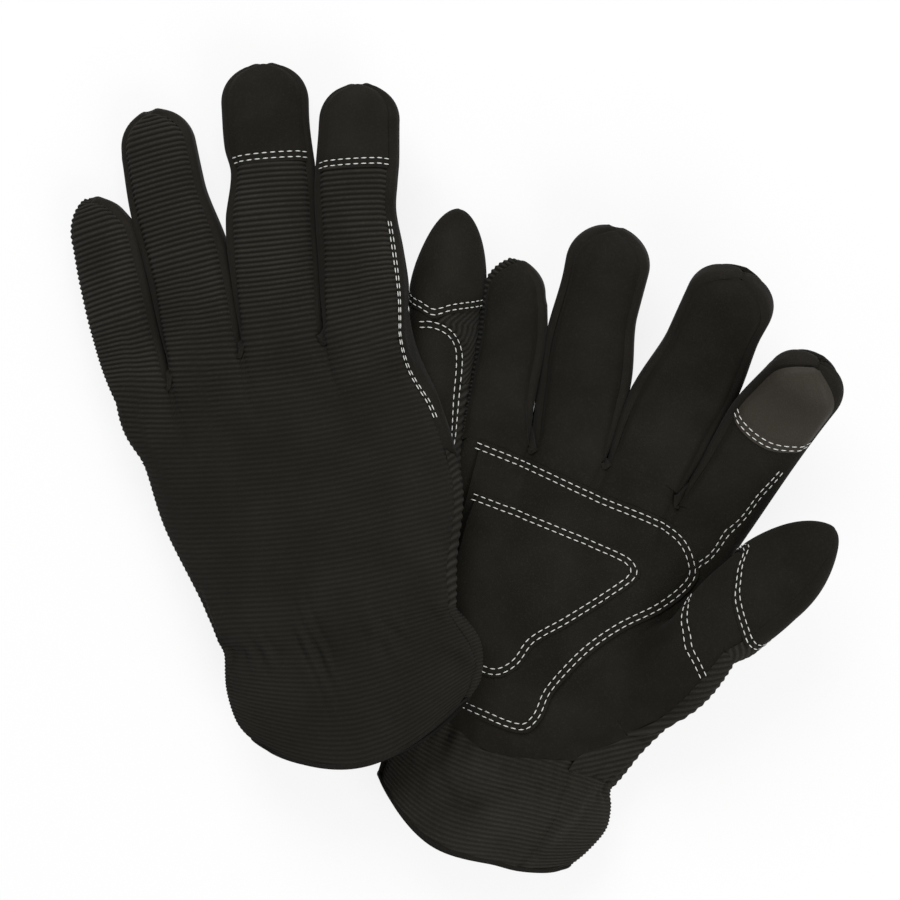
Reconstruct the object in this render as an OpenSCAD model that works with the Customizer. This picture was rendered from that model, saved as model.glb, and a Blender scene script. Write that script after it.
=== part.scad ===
// Pair of cut-and-sewn work gloves, lying one on the other: the left glove on top with its back up,
// the right glove below it with its palm up. Millimetres, +Z up, origin on the ground under the pair's middle.
// Each glove is laid out flat in its own frame: +X to the thumb, +Y to the fingertips, +Z to the back of the hand,
// with the wrist elastic on the X axis. The right glove is the same pattern, mirrored so that its palm is up.

/* [Hand] */
// Length of the hand from the wrist elastic to the root of the middle finger
hand_length = 108; // [95:1:120]
// How much shorter the right hand lies, because its wrist is buckled
right_buckle = 10; // [0:1:18]
// Thickness of the hand at the palm, as the empty glove lies
palm_depth = 26; // [22:1:34]
// Thickness of the hand at the finger roots
knuckle_depth = 22; // [18:1:26]
// Width of the hand at the wrist elastic
wrist_width = 88; // [78:1:96]
// How much narrower the right glove lies at its wrist and cuff
right_squeeze = 8; // [0:1:12]
// Thickness of the hand at the wrist elastic
wrist_depth = 23; // [18:1:30]
// How far the palm's pinky edge stands out of the wrist at mid hand
pinky_edge_out = 12; // [6:1:16]
// How far the palm's thumb edge stands out of the wrist at mid hand
thumb_edge_out = 10; // [4:1:14]
// How much further down the slits between the fingers run on the back than on the palm, halved
slit_slant = 7; // [0:0.5:10]

/* [Cuff] */
// Length of the cuff from the wrist elastic to the middle of the hem
cuff_length = 51; // [40:1:60]
// Width of the cuff at the hem
cuff_width = 91; // [80:1:100]
// Thickness of the cuff at the hem
cuff_depth = 21; // [18:1:30]
// How much further back the hem lies at the sides than in the middle
hem_rise = 17; // [0:1:22]
// Width of the turned hem
hem_width = 4; // [3:0.5:8]
// Distance from the wrist elastic to the lower edge of the leather palm, below it if less than 0
leather_edge = -6; // [-12:1:12]
// Width of the wrist elastic
elastic_width = 9; // [6:1:14]
// Thickness of the wrist elastic
elastic_thickness = 0.8; // [0.6:0.1:1.4]

/* [Fingers] */
// Length of the index finger from its root to its tip
index_length = 86; // [72:1:94]
// Length of the middle finger from its root to its tip
middle_length = 94; // [80:1:104]
// Length of the ring finger from its root to its tip
ring_length = 88; // [76:1:98]
// Length of the pinky finger from its root to its tip
pinky_length = 69; // [56:1:76]
// Width of the index finger at its root
index_width = 26.5; // [22:0.5:29]
// Width of the middle finger at its root
middle_width = 27; // [23:0.5:29]
// Width of the ring finger at its root
ring_width = 25; // [21:0.5:27]
// Width of the pinky finger at its root
pinky_width = 20; // [17:0.5:22]
// Width of the index finger near its tip
index_tip_width = 29.5; // [24:0.5:31]
// Width of the middle finger near its tip
middle_tip_width = 32.5; // [26:0.5:34]
// Width of the ring finger near its tip
ring_tip_width = 27.5; // [23:0.5:29]
// Width of the pinky finger near its tip
pinky_tip_width = 23; // [18:0.5:24]
// Thickness of a finger near its tip
finger_depth = 18; // [14:0.5:21]
// Gap between two neighbouring finger roots of the left glove
left_web_gap = 3; // [2:0.25:4]
// Gap between two neighbouring finger roots of the right glove, whose hand lies cupped
right_web_gap = 1.2; // [1:0.1:3]
// How far the index finger's root lies behind the middle finger's
index_setback = 5; // [2:0.5:9]
// How far the ring finger's root lies behind the middle finger's
ring_setback = 4; // [2:0.5:9]
// How far the pinky finger's root lies behind the middle finger's
pinky_setback = 11; // [6:0.5:16]
// Length of the leather caps on the index and middle fingertips
cap_length = 34; // [24:1:42]

/* [Thumb] */
// Length of the thumb from its root to its tip
thumb_length = 59; // [52:1:68]
// Width of the thumb at its root
thumb_width = 26; // [22:0.5:28]
// How much the thumb swells at half its length
thumb_swell = 3; // [0:0.5:4]
// Thickness of the thumb
thumb_depth = 20; // [18:0.5:23]
// Length of the leather cap on the thumb
thumb_cap_length = 33; // [24:1:40]
// Distance from the wrist elastic to the middle of the thumb's hole in the hand
thumb_hole_at = 46; // [42:1:52]
// Half the length of the thumb's hole in the hand
thumb_hole_half = 25; // [20:1:28]

/* [Cloth] */
// Thickness of the ribbed knit
knit_thickness = 1.6; // [1.2:0.1:2.2]
// Thickness of the synthetic leather
leather_thickness = 1.6; // [1.2:0.1:2.2]
// Thickness of the patches and caps that are sewn on top
patch_thickness = 0.9; // [0.6:0.1:1.4]
// Thickness of the padded heel patch
heel_thickness = 1.8; // [1:0.1:2.6]
// Gap between two layers of cloth
layer_gap = 0.25; // [0.15:0.05:0.4]
// Gap between the hand and a finger's root
root_gap = 1.1; // [1:0.1:1.4]
// Gap between the thumb and the cone of cloth at its root
thumb_gap = 0.45; // [0.4:0.05:0.8]

/* [How the gloves lie] */
// Place of the left glove's wrist on the ground
left_place = [-40.5, -52.4]; // [-80:1:80]
// Turn of the left glove, against the clock
left_turn = 10; // [0:1:20]
// How far the left glove leans, thumb side up, on the right one
left_lean = 13; // [10:0.5:18]
// Slope of the left glove, cuff up
left_slope = 1; // [0:0.5:5]
// Place of the right glove's wrist on the ground
right_place = [23.5, -95.5]; // [-120:1:120]
// Turn of the right glove, against the clock
right_turn = -26; // [-34:1:-18]
// Splay of the left index, middle, ring and pinky fingers, to the thumb
left_splay = [6, 2.8, -5.8, -7.5]; // [-30:0.1:30]
// Splay of the right index, middle, ring and pinky fingers, to the thumb
right_splay = [5, 0.5, -12.5, -17]; // [-30:0.1:30]
// Curl of the left index, middle, ring and pinky fingers, to the palm
left_curl = [22, 18, 10, 4]; // [1:1:60]
// Curl of the right index, middle, ring and pinky fingers, to the palm
right_curl = [50, 42, 16, 6]; // [1:1:60]
// Root of the left thumb, seen in the hand's own frame
left_thumb_root = [45, 79, -20]; // [-30:1:100]
// Root of the right thumb, seen in the hand's own frame
right_thumb_root = [42, 65, -19]; // [-30:1:100]
// Splay of the left and right thumbs
thumb_splay = [16, 26]; // [5:1:40]
// Curl of the left and right thumbs, to the palm
thumb_curl = [4, 12]; // [1:1:30]
// Turn of the left and right thumbs about their own length, back outwards
thumb_roll = [60, 14]; // [0:1:70]

/* [Hidden] */
LEFT = 0;
RIGHT = 1;
INDEX = 0;
MIDDLE = 1;
RING = 2;
PINKY = 3;
THUMB = 4;

KNIT = "#25241f";
LEATHER = "#201f1b";
GUSSET = "#24211e";
PATCH = "#22211c";
TOUCH = "#36322e";
HEM = "#1b1a17";
ELASTIC = "#161513";

// Roundness of the hand and of the fingers, where 2 is an ellipse
hand_squareness = 2.4;
finger_squareness = 2.3;
// Length of a rounded fingertip, and of the thumb's slimmer one
finger_tip = 15;
thumb_tip = 30;
// Where the rounded tip of a finger is closed, as a share of its quarter turn
tip_end = 0.97;
// Angles of the hand's seams round its section: 0 the thumb edge, 90 the back, 180 the pinky edge, 270 the palm
thumb_seam = 12;
pinky_seam = 196;
// Direction and half width of the thumb's hole, round the same section
hole_turn = -40;
hole_spread = 27;
// Length of the strips of cloth at the bottom of the slits between the fingers
crotch_length = 5;

// Edges of the two palm patches, and how far they reach to the pinky side
palm_patch_edge = [[0.11, -8], [0.185, -3], [0.33, 2], [0.5, 9], [0.63, 21], [0.72, 26], [0.795, 22], [0.83, 12]];
heel_patch_edge = [[0.24, -20], [0.315, -13], [0.445, -5], [0.575, 3], [0.65, 6], [0.695, -2]];
palm_patch_side = 0.88;
heel_patch_side = 0.8;
patch_cols = 7;
// Seams round a finger, from the middle of each side
side_seam = 35;
// Seams round the thumb: the knit lies between the outer and the inner one, the leather takes the rest
thumb_outer_seam = -45;
thumb_inner_seam = 90;
// How far each finger folds to the thumb side as it bends
bend_fan = [[-1, -3.5, -6, -8, 0], [3, 0, -3, -5, 0]];

stall_length = [index_length, middle_length, ring_length, pinky_length, thumb_length];
root_width = [index_width, middle_width, ring_width, pinky_width, thumb_width];
root_depth = [knuckle_depth, knuckle_depth, knuckle_depth, knuckle_depth, thumb_depth];
tip_width = [index_tip_width, middle_tip_width, ring_tip_width, pinky_tip_width, thumb_width];
swell = [0, 0, 0, 0, thumb_swell];
end_depth = [finger_depth, finger_depth, finger_depth, finger_depth - 1, thumb_depth];
tip_length = [finger_tip, finger_tip, finger_tip, finger_tip, thumb_tip];
slant = [slit_slant, slit_slant, slit_slant, slit_slant, 0];

splay = [concat(left_splay, thumb_splay[LEFT]), concat(right_splay, thumb_splay[RIGHT])];
curl = [concat(left_curl, thumb_curl[LEFT]), concat(right_curl, thumb_curl[RIGHT])];
turn = [left_turn, right_turn];
lean = [left_lean, 0];
slope = [left_slope, 0];
hand_reach = [hand_length, hand_length - right_buckle];

// Roots of the fingers, side by side with the web gap between them
middle_x = -2;
index_step = (middle_width + index_width)/2;
ring_step = (middle_width + ring_width)/2;
pinky_step = (ring_width + pinky_width)/2;
root_x = [for (gap = [left_web_gap, right_web_gap]) [
    middle_x + index_step + gap,
    middle_x,
    middle_x - ring_step - gap,
    middle_x - ring_step - pinky_step - 2*gap]];
setback = [index_setback, 0, ring_setback, pinky_setback];
thumb_root = [left_thumb_root, right_thumb_root];

// The wrist and cuff lie a little to one side of the hand's frame
wrist_shift = [-2, -3];
wrist_half = [wrist_width/2, (wrist_width - right_squeeze)/2];
cuff_shift = [1, 1];
cuff_half = [cuff_width/2, (cuff_width - right_squeeze)/2];

// The right glove lies on its back. The left one leans on its cuff, with its pinky finger on the ground.
place = [left_place, right_place];

// Rows of points along a finger: up to 1 on the straight part, past 1 round the tip
tip_rows = [1, 1.3, 1.55, 1.8, 1 + tip_end];
// Steps round a finger and round the hand, in degrees
finger_step = 18;
hand_step = 9;
// Steps along the cuff and along the hand over the thumb's hole
cuff_step = 14;
knuckle_step = 9;

function lerp(a, b, t) = a + (b - a)*t;
function smooth(t) = let (u = min(1, max(0, t))) u*u*(3 - 2*u);
function rounded(v, squareness) = sign(v)*pow(abs(v), 2/squareness);
function steps(from, to, size) =
    let (n = max(1, round(abs(to - from)/size))) [for (k = [0:n]) lerp(from, to, k/n)];

// Smooth curve through a list of [place, value] pairs
function curve_slope(list, k) =
    let (a = max(0, k - 1), b = min(len(list) - 1, k + 1))
    (list[b][1] - list[a][1])/(list[b][0] - list[a][0]);
function curve_piece(list, x, k) =
    let (
        a = list[k],
        b = list[k + 1],
        w = b[0] - a[0],
        t = (x - a[0])/w,
        ma = curve_slope(list, k)*w,
        mb = curve_slope(list, k + 1)*w
    )
    a[1]*(1 + 2*t)*(1 - t)*(1 - t) + ma*t*(1 - t)*(1 - t) + b[1]*t*t*(3 - 2*t) + mb*t*t*(t - 1);
function curve(list, x) =
    let (
        last = len(list) - 1,
        v = min(list[last][0], max(list[0][0], x)),
        found = [for (k = [0:last - 1]) if (v >= list[k][0] && v <= list[k + 1][0]) k]
    )
    curve_piece(list, v, found[0]);

// A point of a glove's own frame, laid on the ground: mirrored for the right glove, leant, sloped and turned
function laid_direction(g, p) =
    let (
        m = [p.x, p.y, g == RIGHT ? -p.z : p.z],
        l = lean[g],
        leant = [m.x*cos(l) - m.z*sin(l), m.y, m.x*sin(l) + m.z*cos(l)],
        s = -slope[g],
        sloped = [leant.x, leant.y*cos(s) - leant.z*sin(s), leant.y*sin(s) + leant.z*cos(s)],
        t = turn[g]
    )
    [sloped.x*cos(t) - sloped.y*sin(t), sloped.x*sin(t) + sloped.y*cos(t), sloped.z];
function laid(g, p) = laid_direction(g, p) + [place[g].x, place[g].y, height[g]];

// Closed slab between an outer and an inner grid of points, one row of points after another
module slab(g, outer, inner) {
    rows = len(outer);
    cols = len(outer[0]);
    n = rows*cols;
    points = [for (grid = [outer, inner]) for (row = grid) for (p = row) laid(g, p)];
    function quad(a, b, c, d) = g == RIGHT ? [[c, b, a], [d, c, a]] : [[a, b, c], [a, c, d]];
    function at(i, j) = i*cols + j;
    skin = [for (i = [0:rows - 2]) for (j = [0:cols - 2])
        each quad(at(i, j), at(i, j + 1), at(i + 1, j + 1), at(i + 1, j))];
    lining = [for (i = [0:rows - 2]) for (j = [0:cols - 2])
        each quad(n + at(i, j), n + at(i + 1, j), n + at(i + 1, j + 1), n + at(i, j + 1))];
    ends = [for (j = [0:cols - 2]) each concat(
        quad(at(0, j), n + at(0, j), n + at(0, j + 1), at(0, j + 1)),
        quad(at(rows - 1, j), at(rows - 1, j + 1), n + at(rows - 1, j + 1), n + at(rows - 1, j)))];
    sides = [for (i = [0:rows - 2]) each concat(
        quad(at(i, 0), at(i + 1, 0), n + at(i + 1, 0), n + at(i, 0)),
        quad(at(i, cols - 1), n + at(i, cols - 1), n + at(i + 1, cols - 1), at(i + 1, cols - 1)))];
    polyhedron(points, concat(skin, lining, ends, sides));
}

// Fingers and thumb
function stall_root(g, i) =
    i == THUMB ? thumb_root[g] : [root_x[g][i], hand_reach[g] - setback[i], 0];
function stall_ahead(g, i) = [sin(splay[g][i]), cos(splay[g][i]), 0];
function stall_aside(g, i) = [cos(splay[g][i]), -sin(splay[g][i]), 0];
function stall_roll(g, i) = i == THUMB ? thumb_roll[g] : 0;
function stall_half_width(i, share) =
    lerp(root_width[i], tip_width[i], share)/2 + swell[i]*4*share*(1 - share);
function stall_half_depth(i, share) = lerp(root_depth[i], end_depth[i], smooth(share*2))/2;

// A point of a finger: a the angle round it, r the row along it, inset the depth under its outer face
function stall_point(g, i, a, r, inset) =
    let (
        straight = stall_length[i] - tip_length[i],
        round_in = r <= 1 ? 0 : (r - 1)*90,
        along = r <= 1 ? r*straight : straight + (tip_length[i] - inset)*sin(round_in),
        share = along/stall_length[i],
        half_w = (stall_half_width(i, share) - inset)*cos(round_in),
        half_d = (stall_half_depth(i, share) - inset)*cos(round_in),
        bend = curl[g][i]*share,
        bend_radius = stall_length[i]*180/(PI*curl[g][i]),
        ahead = stall_ahead(g, i),
        aside = stall_aside(g, i),
        up = ahead*sin(bend) + [0, 0, cos(bend)],
        roll = stall_roll(g, i),
        w = half_w*rounded(cos(a), finger_squareness),
        d = half_d*rounded(sin(a), finger_squareness),
        set_back = slant[i]*d/stall_half_depth(i, share)*max(0, 1 - 2*r)
    )
    stall_root(g, i)
    + ahead*bend_radius*sin(bend) - [0, set_back, bend_radius*(1 - cos(bend))]
    + aside*(w*cos(roll) + d*sin(roll)) + up*(d*cos(roll) - w*sin(roll));

// Rows of a cap that covers the last stretch of a finger, and of the whole finger, with the cap's rows in it
cap_reach = [cap_length, cap_length, 0, 0, thumb_cap_length];
function cap_start(i) = (stall_length[i] - cap_reach[i])/(stall_length[i] - tip_length[i]);
function cap_rows(i) = concat([cap_start(i), (1 + cap_start(i))/2], tip_rows);
function stall_rows(i) =
    cap_reach[i] > 0 ? concat([0, cap_start(i)/3, cap_start(i)*2/3], cap_rows(i))
    : concat([0, 0.25, 0.5, 0.75], tip_rows);

// Strip of a finger between two angles round it. A cap or patch is lifted over the finger's own cloth.
module stall_panel(g, i, from, to, thickness, lift = 0) {
    rows = lift > 0 ? cap_rows(i) : stall_rows(i);
    angles = steps(from, to, finger_step);
    outer = [for (r = rows) [for (a = angles) stall_point(g, i, a, r, -lift - (lift > 0 ? thickness : 0))]];
    inner = [for (r = rows) [for (a = angles) stall_point(g, i, a, r, lift > 0 ? -lift : thickness)]];
    slab(g, outer, inner);
}

// Hand: edges, thickness and the line along the finger roots
function root_line(g) = [for (i = [PINKY, RING, MIDDLE, INDEX])
    for (side = [-1, 1])
        let (p = stall_root(g, i) + stall_aside(g, i)*side*root_width[i]/2) [p.x, p.y - root_gap]];
function knuckle_pinky(g) = root_x[g][PINKY] - root_width[PINKY]/2;
function knuckle_thumb(g) = root_x[g][INDEX] + root_width[INDEX]/2;
function pinky_edge(g, y) =
    let (wrist = wrist_shift[g] - wrist_half[g])
    curve([
        [-cuff_length, cuff_shift[g] - cuff_half[g]],
        [0, wrist],
        [0.4*hand_reach[g], wrist - pinky_edge_out],
        [hand_reach[g], knuckle_pinky(g)]], y);
function thumb_edge(g, y) =
    let (wrist = wrist_shift[g] + wrist_half[g])
    curve([
        [-cuff_length, cuff_shift[g] + cuff_half[g]],
        [0, wrist],
        [0.4*hand_reach[g], wrist + thumb_edge_out],
        [hand_reach[g], knuckle_thumb(g)]], y);
function hand_half_depth(g, y) =
    curve([
        [-cuff_length, cuff_depth/2],
        [0, wrist_depth/2],
        [0.45*hand_reach[g], palm_depth/2],
        [hand_reach[g], knuckle_depth/2]], y);

// The hem's arc, the slanted finger slits and the stepped finger roots move a row of the hand's points
function hand_row(g, y, across, x, z_share) =
    let (
        hem = y < 0 ? hem_rise*across*across*(-y/cuff_length) : 0,
        upper = smooth((y/hand_reach[g] - 0.45)/0.55),
        root = lookup(x, root_line(g)) - hand_reach[g] - slit_slant*z_share
    )
    y + hem + root*upper;
function hand_point(g, a, y, inset) =
    let (
        low = pinky_edge(g, y),
        high = thumb_edge(g, y),
        across = rounded(cos(a), hand_squareness),
        x = (low + high)/2 + ((high - low)/2 - inset)*across,
        half_d = hand_half_depth(g, y),
        z = (half_d - inset)*rounded(sin(a), hand_squareness)
    )
    [x, hand_row(g, y, across, x, z/half_d), z];

// Share of the hand's full thickness at a place seen from above
function hand_across(g, x, y) =
    let (low = pinky_edge(g, y), high = thumb_edge(g, y)) (2*x - low - high)/(high - low);
function hand_fullness(g, x, y) =
    pow(1 - pow(abs(hand_across(g, x, y)), hand_squareness), 1/hand_squareness);

// The palm's outer face at a place seen from above, with lift the height over it
function palm_point(g, x, y, lift) =
    let (full = hand_fullness(g, x, y))
    [x, hand_row(g, y, hand_across(g, x, y), x, -full), -hand_half_depth(g, y)*full - lift];

// The thumb's hole: t runs round it, from the wrist side over the back to the web and along the palm
hole_size = [for (reach = hand_reach) reach/hand_length*[thumb_hole_at, thumb_hole_half]];
function hole_at(g, t) = hole_size[g][0] - hole_size[g][1]*cos(t);
function hole_edge(t) = hole_turn + hole_spread*sin(t);
hole_rows = [for (g = [LEFT, RIGHT]) [for (t = [0:22.5:180]) hole_at(g, t)]];
function hole_share(g, y) =
    let (u = (y - hole_size[g][0])/hole_size[g][1]) abs(u) < 1 ? sqrt(1 - u*u) : 0;
function hole_top(g) = hole_at(g, 180);

module hand_panel(g, rows, from, to, thickness, inset = 0) {
    n = max(1, round((to(rows[0]) - from(rows[0]))/hand_step));
    function ring(y, depth) = [for (k = [0:n]) hand_point(g, lerp(from(y), to(y), k/n), y, depth)];
    slab(g, [for (y = rows) ring(y, inset)], [for (y = rows) ring(y, inset + thickness)]);
}

// Rows of the hand from the hem to the finger roots, past the thumb's hole
low_rows = steps(hem_width - cuff_length, leather_edge, cuff_step);
function wrist_rows(g) = [for (y = steps(leather_edge, hole_at(g, 0), cuff_step)) if (y < hole_at(g, 0)) y];
function palm_rows(g) =
    concat(wrist_rows(g), hole_rows[g],
        [for (y = steps(hole_top(g), hand_reach[g], knuckle_step)) if (y > hole_top(g)) y]);

module back_panel(g) {
    color(KNIT)
        hand_panel(g, concat(low_rows, [for (y = palm_rows(g)) if (y > leather_edge) y]),
            function(y) thumb_seam, function(y) pinky_seam, knit_thickness);
}

module palm_panel(g) {
    color(LEATHER)
        hand_panel(g, palm_rows(g),
            function(y) pinky_seam, function(y) 360 + hole_turn - hole_spread*hole_share(g, y), leather_thickness);
}

module cuff_panel(g) {
    color(KNIT)
        hand_panel(g, low_rows,
            function(y) pinky_seam, function(y) 360 + thumb_seam, knit_thickness);
}

module hem_binding(g) {
    rows = [-cuff_length, hem_width - cuff_length];
    color(HEM) {
        hand_panel(g, rows, function(y) thumb_seam, function(y) pinky_seam, knit_thickness);
        hand_panel(g, rows, function(y) pinky_seam, function(y) 360 + thumb_seam, knit_thickness);
    }
}

module wrist_elastic(g) {
    color(ELASTIC)
        hand_panel(g, [-elastic_width/2, 0, elastic_width/2],
            function(y) thumb_seam + 6, function(y) pinky_seam - 20,
            elastic_thickness, knit_thickness + layer_gap);
}

// Cone of cloth from the thumb's hole in the hand to the root of the thumb
module thumb_root_cone(g, from, to) {
    turns = steps(from, to, 22.5);
    shares = [0, 0.35, 0.7, 1];
    function edge(t, depth) = hand_point(g, hole_edge(t), hole_at(g, t), depth);
    function ring(t, depth) = stall_point(g, THUMB, t, 0, depth) - stall_ahead(g, THUMB)*thumb_gap;
    function cone(depth) = [for (s = shares) [for (t = turns) lerp(edge(t, depth), ring(t, depth), s)]];
    slab(g, cone(0), cone(knit_thickness));
}

module thumb_gusset(g) {
    rows = concat(wrist_rows(g), [for (y = hole_rows[g]) if (y <= hole_size[g][0]) y]);
    color(KNIT) {
        hand_panel(g, rows,
            function(y) hole_turn + hole_spread*hole_share(g, y), function(y) thumb_seam, knit_thickness);
        thumb_root_cone(g, thumb_outer_seam, thumb_inner_seam);
    }
}

module thumb_saddle(g) {
    color(LEATHER) thumb_root_cone(g, thumb_inner_seam, 360 + thumb_outer_seam);
}

module index_web(g) {
    rows = concat([for (y = hole_rows[g]) if (y >= hole_size[g][0]) y],
        [for (y = palm_rows(g)) if (y > hole_top(g)) y]);
    color(LEATHER)
        hand_panel(g, rows,
            function(y) hole_turn + hole_spread*hole_share(g, y), function(y) thumb_seam, leather_thickness);
}

// Upright strip of cloth between two finger roots
module crotch(g, i, j) {
    a = stall_root(g, i) + stall_aside(g, i)*root_width[i]/2;
    b = stall_root(g, j) - stall_aside(g, j)*root_width[j]/2;
    full = min(hand_fullness(g, a.x, hand_reach[g]), hand_fullness(g, b.x, hand_reach[g]));
    half_z = full*knuckle_depth/2 - max(knit_thickness, leather_thickness) - layer_gap;
    function column(z, side, back) =
        [side < 0 ? a.x : b.x, min(a.y, b.y) - root_gap - slit_slant*z/(knuckle_depth/2) - back, z];
    function face(back) = [for (z = [-half_z, 0, half_z]) [column(z, -1, back), column(z, 1, back)]];
    slab(g, face(0), face(crotch_length));
}

module crotch_gussets(g) {
    color(GUSSET) {
        crotch(g, PINKY, RING);
        crotch(g, RING, MIDDLE);
        crotch(g, MIDDLE, INDEX);
    }
}

// Sewn-on patch from the pinky side to a curved edge, given as pairs of a share of the hand's length and a place
module patch(g, edge, side_share, lift, thickness) {
    function span(p, height) =
        let (y = p[0]*hand_reach[g], side = side_share*pinky_edge(g, y))
        [for (k = [0:patch_cols]) palm_point(g, lerp(p[1], side, k/patch_cols), y, height)];
    slab(g, [for (p = edge) span(p, lift)], [for (p = edge) span(p, lift + thickness)]);
}

module palm_patch(g) {
    color(PATCH) patch(g, palm_patch_edge, palm_patch_side, layer_gap, patch_thickness);
}

module heel_patch(g) {
    color(PATCH) patch(g, heel_patch_edge, heel_patch_side, 2*layer_gap + patch_thickness, heel_thickness);
}

// Angles of the seams round a finger: 0 the thumb side, 90 the back, 180 the pinky side, 270 the front
module finger_back(g, i) {
    color(KNIT) stall_panel(g, i, side_seam, i == PINKY ? 180 + side_seam : 180 - side_seam, knit_thickness);
}
module finger_front(g, i) {
    color(LEATHER)
        stall_panel(g, i, 180 + side_seam, i == INDEX ? 360 + side_seam : 360 - side_seam, leather_thickness);
}
module fourchettes(g, i) {
    color(GUSSET) {
        if (i != INDEX) stall_panel(g, i, -side_seam, side_seam, knit_thickness);
        if (i != PINKY) stall_panel(g, i, 180 - side_seam, 180 + side_seam, knit_thickness);
    }
}
module finger_cap(g, i) {
    color(LEATHER)
        stall_panel(g, i, side_seam, 180 - side_seam, patch_thickness, layer_gap);
}
module touch_tip(g) {
    color(TOUCH)
        stall_panel(g, INDEX, 180 + side_seam, 360 - side_seam, patch_thickness, layer_gap);
}

module thumb_back(g) {
    color(KNIT) stall_panel(g, THUMB, thumb_outer_seam, thumb_inner_seam, knit_thickness);
}
module thumb_front(g) {
    color(LEATHER) stall_panel(g, THUMB, thumb_inner_seam, 360 + thumb_outer_seam, leather_thickness);
}
module thumb_cap(g) {
    color(LEATHER) {
        stall_panel(g, THUMB, thumb_outer_seam, thumb_inner_seam, patch_thickness, layer_gap);
        stall_panel(g, THUMB, thumb_inner_seam, 360 + thumb_outer_seam, patch_thickness, layer_gap);
    }
}

// Heights of the two wrists: the left pinky clears the ground, and the left cuff clears the right one
ground_height = -min([for (a = [0:20:340]) for (r = stall_rows(PINKY))
    laid_direction(LEFT, stall_point(LEFT, PINKY, a, r, 0)).z]);
cuff_height = max(palm_depth - 4, (wrist_depth + cuff_depth)/2) + 0.45*cuff_depth
    - cuff_half[LEFT]/2*sin(left_lean);
height = [max(ground_height, cuff_height) + 2*layer_gap, palm_depth/2];

// Where each finger bends: a line along the palm side of its root
STALLS = ["index", "middle", "ring", "pinky", "thumb"];
for (g = [LEFT, RIGHT]) for (i = [INDEX:THUMB])
    let (
        low = i == THUMB ? max([for (a = [0:10:350]) stall_root(g, i).z - stall_point(g, i, a, 0, 0).z])
            : root_depth[i]/2,
        pivot = stall_root(g, i) + [0, slant[i], -low - root_gap],
        fan = bend_fan[g][i],
        bend_axis = [0, 0, -sin(fan)] - stall_aside(g, i)*cos(fan)
    )
    echo(bend = str(g == LEFT ? "left_" : "right_", STALLS[i]), at = laid(g, pivot),
        axis = laid_direction(g, bend_axis)*(g == RIGHT ? -1 : 1));

PIECES = [
    "back_panel", "palm_panel", "cuff_panel", "hem_binding", "wrist_elastic", "thumb_gusset", "thumb_saddle",
    "index_web", "crotch_gussets", "palm_patch", "heel_patch",
    "index_back", "index_front", "index_fourchette", "index_cap", "index_touch_tip",
    "middle_back", "middle_front", "middle_fourchettes", "middle_cap",
    "ring_back", "ring_front", "ring_fourchettes",
    "pinky_back", "pinky_front", "pinky_fourchette",
    "thumb_back", "thumb_front", "thumb_cap"];

module piece(g, name) {
    if (name == "back_panel") back_panel(g);
    if (name == "palm_panel") palm_panel(g);
    if (name == "cuff_panel") cuff_panel(g);
    if (name == "hem_binding") hem_binding(g);
    if (name == "wrist_elastic") wrist_elastic(g);
    if (name == "thumb_gusset") thumb_gusset(g);
    if (name == "thumb_saddle") thumb_saddle(g);
    if (name == "index_web") index_web(g);
    if (name == "crotch_gussets") crotch_gussets(g);
    if (name == "palm_patch") palm_patch(g);
    if (name == "heel_patch") heel_patch(g);
    if (name == "index_back") finger_back(g, INDEX);
    if (name == "index_front") finger_front(g, INDEX);
    if (name == "index_fourchette") fourchettes(g, INDEX);
    if (name == "index_cap") finger_cap(g, INDEX);
    if (name == "index_touch_tip") touch_tip(g);
    if (name == "middle_back") finger_back(g, MIDDLE);
    if (name == "middle_front") finger_front(g, MIDDLE);
    if (name == "middle_fourchettes") fourchettes(g, MIDDLE);
    if (name == "middle_cap") finger_cap(g, MIDDLE);
    if (name == "ring_back") finger_back(g, RING);
    if (name == "ring_front") finger_front(g, RING);
    if (name == "ring_fourchettes") fourchettes(g, RING);
    if (name == "pinky_back") finger_back(g, PINKY);
    if (name == "pinky_front") finger_front(g, PINKY);
    if (name == "pinky_fourchette") fourchettes(g, PINKY);
    if (name == "thumb_back") thumb_back(g);
    if (name == "thumb_front") thumb_front(g);
    if (name == "thumb_cap") thumb_cap(g);
}

for (name = PIECES) {
    piece(LEFT, name);
    piece(RIGHT, name);
}
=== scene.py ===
import bpy
import numpy as np
from math import radians
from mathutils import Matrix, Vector


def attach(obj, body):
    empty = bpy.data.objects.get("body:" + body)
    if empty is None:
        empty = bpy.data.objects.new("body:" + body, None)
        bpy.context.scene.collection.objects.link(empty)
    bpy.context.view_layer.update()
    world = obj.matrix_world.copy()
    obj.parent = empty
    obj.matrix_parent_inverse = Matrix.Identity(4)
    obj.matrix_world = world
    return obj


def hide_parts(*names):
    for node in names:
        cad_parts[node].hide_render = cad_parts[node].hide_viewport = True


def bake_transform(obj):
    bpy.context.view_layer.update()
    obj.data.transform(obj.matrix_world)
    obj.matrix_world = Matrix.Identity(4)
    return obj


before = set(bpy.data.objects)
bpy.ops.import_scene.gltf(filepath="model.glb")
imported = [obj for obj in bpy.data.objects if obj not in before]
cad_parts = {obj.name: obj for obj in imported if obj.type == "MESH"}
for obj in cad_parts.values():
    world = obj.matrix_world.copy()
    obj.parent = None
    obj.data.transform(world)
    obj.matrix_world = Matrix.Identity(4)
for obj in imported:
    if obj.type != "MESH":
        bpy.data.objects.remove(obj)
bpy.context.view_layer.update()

# The pair: a left and a right glove of one pattern, cut and sewn, the left one leaning on the right.
# Each is shaped in its own frame in millimetres: x to the thumb, y to the fingertips, z to the back of
# the hand, with the wrist on the x axis. The right one is the same pattern, lying with its palm up.
SIDES = ("left", "right")
place = {"left": (-40.5, -52.4, 27.43), "right": (23.5, -95.5, 13.0)}
turn = {"left": 10.0, "right": -26.0}
lean = {"left": 13.0, "right": 0.0}
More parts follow.
